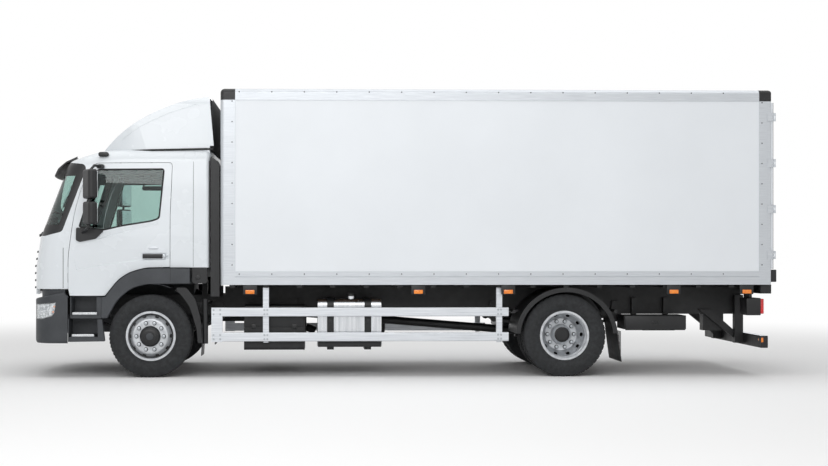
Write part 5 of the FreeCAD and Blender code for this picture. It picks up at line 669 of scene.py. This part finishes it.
# lamps in mm: headlamp bulbs' middles, side markers by their middles and their blocks about those, tail lamp
# housings with hangers and lenses as (y from, y to, slot), reflectors and bright edge of the underrun bar
lamps = {"reflectorInset": 14, "bulbs": ((-1166, -1206, 872), (-1180, -1205, 806)), "bulbRadius": 15,
         "markers": (1220, 3281, 4388, 6436, 7342),
         "markerBase": (((-85, -1253, 1018), (85, -1245, 1136), 3),
                        ((-60, -1257, 1021), (60, -1253, 1079), 2)),
         "markerLens": (((-55, -1271, 1026), (55, -1256, 1074), 5),),
         "housing": (((7365, -1180, 753), (7545, -900, 968), 10, 3),
                     ((7405, -980, 960), (7445, -930, 1152), 3),
                     ((7405, -1140, 960), (7445, -1090, 1152), 3)),
         "tail": ((-1180, -1090, "red_lens"), (-1087, -1000, "orange_lens"), (-997, -905, "lamp_lens")),
         "tailDepth": (7540, 7582), "tailHeight": (772, 958), "tailEdge": 9,
         "underrun": ((7540, -1203, 420), (7566, -1199, 476), 1),
         "underrunDot": ((7534, -1130, 450), (7530, -1130, 450), 13, 24),
         "underrunEdge": ((7534, -1199, 500), (7623, 1199, 503), 1)}


def makeHeadlamps():
    makePiece("headlamp_lenses", nodeCopy("headlamps"), "chassis", "lamp_lens", ["headlamps"])
    reflector = nodeCopy("headlamps")
    bmesh.ops.recalc_face_normals(reflector, faces=reflector.faces)
    for vert in reflector.verts:
        vert.co -= vert.normal * lamps["reflectorInset"] / 1000
    makePiece("headlamp_reflectors", reflector, "chassis", "lamp_lens", look="reflector")
    bulbs = bmesh.new()
    for place in lamps["bulbs"]:
        bmesh.ops.create_uvsphere(bulbs, u_segments=20, v_segments=12, radius=lamps["bulbRadius"] / 1000,
                                  matrix=Matrix.Translation(spot(*place)))
    addTwin(bulbs)
    makePiece("indicator_bulbs", bulbs, "chassis", "orange_lens")


def makeOtherLamps():
    bases = bmesh.new()
    lenses = bmesh.new()
    for x in lamps["markers"]:
        addAll(bases, lamps["markerBase"], at=(x, 0, 0))
        addAll(lenses, lamps["markerLens"], at=(x, 0, 0))
    for mesh, name, slot, replaced in ((bases, "marker_bases", "black_plastic", ["side_markers"]),
                                       (lenses, "marker_lenses", "orange_lens", ())):
        addTwin(mesh)
        makePiece(name, mesh, "chassis", slot, replaced)
    housing = bmesh.new()
    addAll(housing, lamps["housing"])
    addTwin(housing)
    makePiece("tail_lamp_housings", housing, "chassis", "black_plastic", ["tail_lamps"])
    x0, x1 = lamps["tailDepth"]
    z0, z1 = lamps["tailHeight"]
    for y0, y1, slot in lamps["tail"]:
        lens = bmesh.new()
        addBlock(lens, (x0, y0, z0), (x1, y1, z1), lamps["tailEdge"], 3)
        addTwin(lens)
        makePiece("tail_" + slot, lens, "chassis", slot, look="plate_sheet" if slot == "lamp_lens" else None)
    orange = bmesh.new()
    addAll(orange, [lamps["underrun"]], [lamps["underrunDot"]])
    addTwin(orange)
    makePiece("underrun_reflectors", orange, "chassis", "orange_lens")
    edge = bmesh.new()
    addAll(edge, [lamps["underrunEdge"]])
    makePiece("underrun_edge", edge, "chassis", "aluminium_rail")


makeHeadlamps()
makeOtherLamps()
print("lamps ready")

# fastenings in mm: rivet rows of the load box as (first x, last x, z), its posts' x and range of z, their
# pitches, the corner brackets' (x, z) rivets, and the bolts of the side guards
rivets = {"rails": ((1090, 7440, 3495), (1090, 7440, 1268)), "railPitch": 397, "posts": (1003, 7526),
          "postRange": (1380, 3380), "postPitch": 250, "corners": ((890, 1010, 7560, 7615), (3430, 3505)),
          "side": -1275, "head": (((0, 0, 0), (0, -3, 0), 8, 12, 0, 4.5),)}
guardBolts = {"x": (772, 852, 1393, 1429, 4270, 4306), "z": (470, 520, 776, 828), "face": -1199,
              "bolt": (((0, 0, 0), (0, -4, 0), 13, 20), ((0, -4, 0), (0, -11, 0), 9, 6, 1))}


def inSteps(first, last, pitch):
    return [first + i * pitch for i in range(int((last - first) / pitch) + 1)]


def makeRivets():
    mesh = bmesh.new()
    places = []
    for first, last, z in rivets["rails"]:
        places += [(x, z) for x in inSteps(first, last, rivets["railPitch"])]
    for x in rivets["posts"]:
        places += [(x, z) for z in inSteps(*rivets["postRange"], rivets["postPitch"])]
    places += [(x, z) for x in rivets["corners"][0] for z in rivets["corners"][1]]
    for x, z in places:
        addAll(mesh, rods=rivets["head"], at=(x, rivets["side"], z))
    addTwin(mesh)
    # the dark cast-iron finish on the rivet heads is painted shade: dark dots that stand in for the shadows
    # round them
    makePiece("box_rivets", mesh, "chassis", "box_profile", look="engine")


def makeGuardBolts():
    mesh = bmesh.new()
    for x in guardBolts["x"]:
        for z in guardBolts["z"]:
            addAll(mesh, rods=guardBolts["bolt"], at=(x, guardBolts["face"], z))
    addTwin(mesh)
    makePiece("guard_bolts", mesh, "chassis", "aluminium_rail", look="zinc")


# rear doors in mm, left leaf: its outer face, the seal's outline (y, y, z, z), the hinge straps' screws, and
# the lock bar's guides, each a plate with a clasp and two screws; and the blank number plates
rear = {"face": 7666, "seal": (-1262, -4, 1330, 3380), "hinges": (1502, 2068, 2634, 3200),
        "strapY": (-1120, -1170, -1225), "strapScrew": (((6, 0, 0), (12, 0, 0), 8, 6, 1),),
        "barY": -420, "guides": (1660, 2040, 2750, 3120),
        "guide": (((0, -34, -22), (5, 34, 22), 1.5), ((4, -17, -16), (26, 17, 16), 4)),
        "guideScrews": (((5, -26, 0), (9, -26, 0), 5, 6), ((5, 26, 0), (9, 26, 0), 5, 6)),
        "plates": (((7639, -260, 1180), (7643, 260, 1292), 1.2),
                   ((-1540, -260, 474), (-1536, 260, 586), 1.2))}


def makeRearTrim():
    x = rear["face"]
    y0, y1, z0, z1 = rear["seal"]
    seal = bmesh.new()
    addPlate(seal, [(x - 2, y, z) for y, z in ((y0, z0), (y1, z0), (y1, z1), (y0, z1))], (8, 0, 0), 6, 15,
             edge=2)
    makePair("rear_door_seal", seal, "rear_door", "black_plastic", look="seal")
    gear = bmesh.new()
    for z in rear["hinges"]:
        for y in rear["strapY"]:
            addAll(gear, rods=rear["strapScrew"], at=(x, y, z))
    for z in rear["guides"]:
        addAll(gear, rear["guide"], rear["guideScrews"], at=(x, rear["barY"], z))
    makePair("rear_lock_gear", gear, "rear_door", "box_profile", look="zinc")
    plates = bmesh.new()
    addAll(plates, rear["plates"])
    makePiece("blank_number_plates", plates, "chassis", "box_panel", look="plate_sheet")


# fittings on the chassis in mm: filler cap, foot guard and strap pads of the tank, and a black strip along
# its foot that is painted shade under the tank, lids with their catches on the equipment boxes, brake
# chambers; ribs of the mudflaps by their first y, pitch and number
fittings = {"tankRods": (((2462, -970, 990), (2462, -970, 1018), 56, 32, 6),),
            "tankBlocksAndShadeStrip": (((2420, -980, 1016), (2504, -960, 1030), 5),
                           # black strip along the tank's foot: painted shade under the tank
                           ((2050, -1110, 366), (2832, -1100, 434), 4),
                           ((2189, -1112, 640), (2221, -1104, 700), 3),
                           ((2651, -1112, 640), (2683, -1104, 700), 3)),
            "lids": (((1150, -1085, 610), (1874, -1078, 866), 5), ((1230, -1096, 590), (1290, -1080, 650), 6),
                     ((1730, -1096, 590), (1790, -1080, 650), 6), ((5912, -916, 556), (6672, -910, 734), 4),
                     ((6250, -924, 640), (6330, -912, 668), 5)),
            "flapRib": (((5796, 0, 205), (5802, 18, 560), 2),), "flapRibs": (-585, -52, 12),
            "chambers": (((5190, -335, 600), (5290, -335, 600), 78, 32, 14),
                         ((5300, -335, 600), (5390, -335, 600), 78, 32, 14),
                         ((5286, -335, 600), (5304, -335, 600), 84, 32),
                         ((5090, -335, 600), (5190, -335, 600), 13, 16))}


def makeChassisTrim():
    tank = bmesh.new()
    addAll(tank, fittings["tankBlocksAndShadeStrip"], fittings["tankRods"])
    makePiece("tank_fittings_and_shade_strip", tank, "chassis", "black_plastic")
    lids = bmesh.new()
    addAll(lids, fittings["lids"])
    makePiece("equipment_lids", lids, "chassis", "black_plastic")
    ribs = bmesh.new()
    first, pitch, count = fittings["flapRibs"]
    for i in range(count):
        addAll(ribs, fittings["flapRib"], at=(0, first + i * pitch, 0))
    addTwin(ribs)
    makePiece("mudflap_ribs", ribs, "chassis", "black_plastic")
    chambers = bmesh.new()
    addAll(chambers, rods=fittings["chambers"])
    addTwin(chambers)
    makePiece("brake_chambers", chambers, "chassis", "chassis_paint")


makeRivets()
makeGuardBolts()
makeRearTrim()
makeChassisTrim()
print("fastenings, rear gear and chassis fittings ready")

# seats in mm about their middle line: cushion, back and head rest as (x, x, half width, z, z, degrees of
# lean), how far a face swells, the share of the block that its edges keep; base and posts of the right seat
seat = {"middle": 560, "cushion": (-430, 100, 255, 1566, 1696, 3), "back": (60, 185, 245, 1650, 2292, 10),
        "rest": (205, 290, 140, 2306, 2474, 8), "puff": 13, "keep": 0.94,
        "base": (((-330, 370, 1330), (60, 750, 1565), 14, 3),),
        "posts": (((222, 490, 2250), (238, 490, 2330), 8), ((222, 630, 2250), (238, 630, 2330), 8))}
# dashboard in mm: where the CAD's interior is cut behind it, vents by their y, instrument hood, console
dash = {"cutX": -500, "ventY": (-980, -250, 250, 980), "vent": (((-965, -70, 1690), (-948, 70, 1740), 6),),
        "hood": ((-1040, -760, 1800), (-930, -360, 1880), 26, 4),
        "console": ((-968, -180, 1500), (-944, 180, 1670), 8)}


def addCushion(mesh, low, high, turn):
    # padded block: a divided box whose faces swell towards their middles
    low, high = spot(*low), spot(*high)
    half = (high - low) / 2
    bmesh.ops.create_cube(mesh, size=2)
    bmesh.ops.subdivide_edges(mesh, edges=mesh.edges[:], cuts=5, use_grid_fill=True)
    for vert in mesh.verts:
        fade = [1 - along ** 2 for along in vert.co]
        swell = (fade[1] * fade[2], fade[0] * fade[2], fade[0] * fade[1])
        vert.co = Vector([along * (reach * seat["keep"] + seat["puff"] / 1000 * puff)
                          for along, reach, puff in zip(vert.co, half, swell)])
    bmesh.ops.transform(mesh, matrix=turn @ Matrix.Translation((low + high) / 2), verts=mesh.verts)


def makeSeats():
    for side, y in (("left", -seat["middle"]), ("right", seat["middle"])):
        for part in ("cushion", "back", "rest"):
            x0, x1, half, z0, z1, lean = seat[part]
            mesh = bmesh.new()
            addCushion(mesh, (x0, y - half, z0), (x1, y + half, z1), about((x0, y, z0), lean, "Y"))
            makePiece(f"seat_{part}_{side}", mesh, "cab", "interior", ["cab_interior"], look="seat_cloth",
                      sharp=80, soft=2)
    mesh = bmesh.new()
    addAll(mesh, seat["base"], seat["posts"])
    addTwin(mesh)
    makePiece("seat_bases", mesh, "cab", "black_plastic", ["cab_interior"])


def makeDashboard():
    mesh = nodeCopy("cab_interior")
    cutAt(mesh, spot(dash["cutX"], 0, 0), Vector((1, 0, 0)), clear=True)
    addAll(mesh, [dash["hood"], dash["console"]])
    for y in dash["ventY"]:
        addAll(mesh, dash["vent"], at=(0, y, 0))
    makePiece("dashboard", mesh, "cab", "interior", ["cab_interior"])


makeSeats()
makeDashboard()
print("seats and dashboard ready")

# the photograph: eye 17.6 m to the truck's left, 1.49 m up, square to its side but for 1.57 degrees
camera = {"behindAxle": 2.089, "toTheLeft": 17.6, "height": 1.487, "turn": -1.57, "sensor": 36, "lens": 58.04,
          "shift": (0.068, 0.028), "farthest": 400}


def makeCamera():
    data = bpy.data.cameras.new("camera")
    data.sensor_width = camera["sensor"]
    data.lens = camera["lens"]
    data.shift_x, data.shift_y = camera["shift"]
    data.clip_end = camera["farthest"]
    eye = bpy.data.objects.new("camera", data)
    eye.location = (frontAxle + camera["behindAxle"], -camera["toTheLeft"], camera["height"])
    eye.rotation_euler = (math.radians(90), 0, math.radians(camera["turn"]))
    bpy.context.collection.objects.link(eye)
    bpy.context.scene.camera = eye


# soft boxes in metres: place, what it points at, size, watts
softBoxes = {
    "overhead": {"place": (0, -1.5, 9), "aim": (0, 0, 0), "size": (14, 8), "watts": 340},
    "side": {"place": (-3, -13, 6.5), "aim": (0, 0, 1.5), "size": (12, 5), "watts": 525},
    "farSide": {"place": (3, 13, 7), "aim": (0, 0, 1.5), "size": (12, 5), "watts": 250},
}


def makeLights():
    for name, box in softBoxes.items():
        data = bpy.data.lights.new(name, "AREA")
        data.shape = "RECTANGLE"
        data.size, data.size_y = box["size"]
        data.energy = box["watts"]
        lamp = bpy.data.objects.new(name, data)
        lamp.location = box["place"]
        aim = Vector(box["aim"]) - Vector(box["place"])
        lamp.rotation_euler = aim.to_track_quat("-Z", "Y").to_euler()
        bpy.context.collection.objects.link(lamp)


# light from all round, floor colour, and in metres the floor's half width and where it starts to pass into
# plain white and where it is plain white
surroundings = {"light": 0.5, "floor": "#FDFDFD", "halfWidth": 120, "clearRadius": 6.0, "whiteRadius": 16.0}


def seenDirectly(tree):
    # 1 where a camera, mirror or see-through ray lands, so that those see plain white
    path = addNode(tree, "ShaderNodeLightPath")
    first = addNode(tree, "ShaderNodeMath",
                    [(0, path.outputs["Is Camera Ray"]), (1, path.outputs["Is Glossy Ray"])],
                    operation="MAXIMUM")
    return addNode(tree, "ShaderNodeMath", [(0, first.outputs[0]), (1, path.outputs["Is Transmission Ray"])],
                   operation="MAXIMUM").outputs[0]


def makeWorld():
    world = bpy.data.worlds.new("studio")
    bpy.context.scene.world = world
    world.use_nodes = True
    tree = world.node_tree
    tree.nodes.clear()
    strength = addNode(tree, "ShaderNodeMapRange", [("Value", seenDirectly(tree))],
                       To_Min=surroundings["light"])
    back = addNode(tree, "ShaderNodeBackground", [("Strength", strength.outputs["Result"])],
                   Color=(1, 1, 1, 1))
    addNode(tree, "ShaderNodeOutputWorld", [("Surface", back.outputs["Background"])])


def makeFloor():
    material = bpy.data.materials.new("studio_floor")
    material.use_nodes = True
    tree = material.node_tree
    tree.nodes.clear()
    place = addNode(tree, "ShaderNodeTexCoord").outputs["Object"]
    plain = addNode(tree, "ShaderNodeBsdfDiffuse", Color=linear(surroundings["floor"]))
    white = addNode(tree, "ShaderNodeEmission", Strength=1.0)
    reach = addNode(tree, "ShaderNodeVectorMath", [(0, place)], operation="LENGTH")
    far = addNode(tree, "ShaderNodeMapRange", [("Value", reach.outputs["Value"])],
                  interpolation_type="SMOOTHSTEP", From_Min=surroundings["clearRadius"],
                  From_Max=surroundings["whiteRadius"])
    both = addNode(tree, "ShaderNodeMath", [(0, far.outputs["Result"]), (1, seenDirectly(tree))],
                   operation="MULTIPLY")
    mix = addNode(tree, "ShaderNodeMixShader", [(0, both.outputs[0]), (1, plain.outputs[0]),
                                                (2, white.outputs[0])])
    addNode(tree, "ShaderNodeOutputMaterial", [("Surface", mix.outputs[0])])
    sheet = bmesh.new()
    bmesh.ops.create_grid(sheet, x_segments=8, y_segments=8, size=surroundings["halfWidth"])
    mesh = bpy.data.meshes.new("studio_floor")
    sheet.to_mesh(mesh)
    sheet.free()
    mesh.materials.append(material)
    floor = bpy.data.objects.new("studio_floor", mesh)
    bpy.context.collection.objects.link(floor)


makeCamera()
makeLights()
makeWorld()
makeFloor()
bpy.context.scene.view_settings.view_transform = "Standard"
print("camera, lights and floor ready")
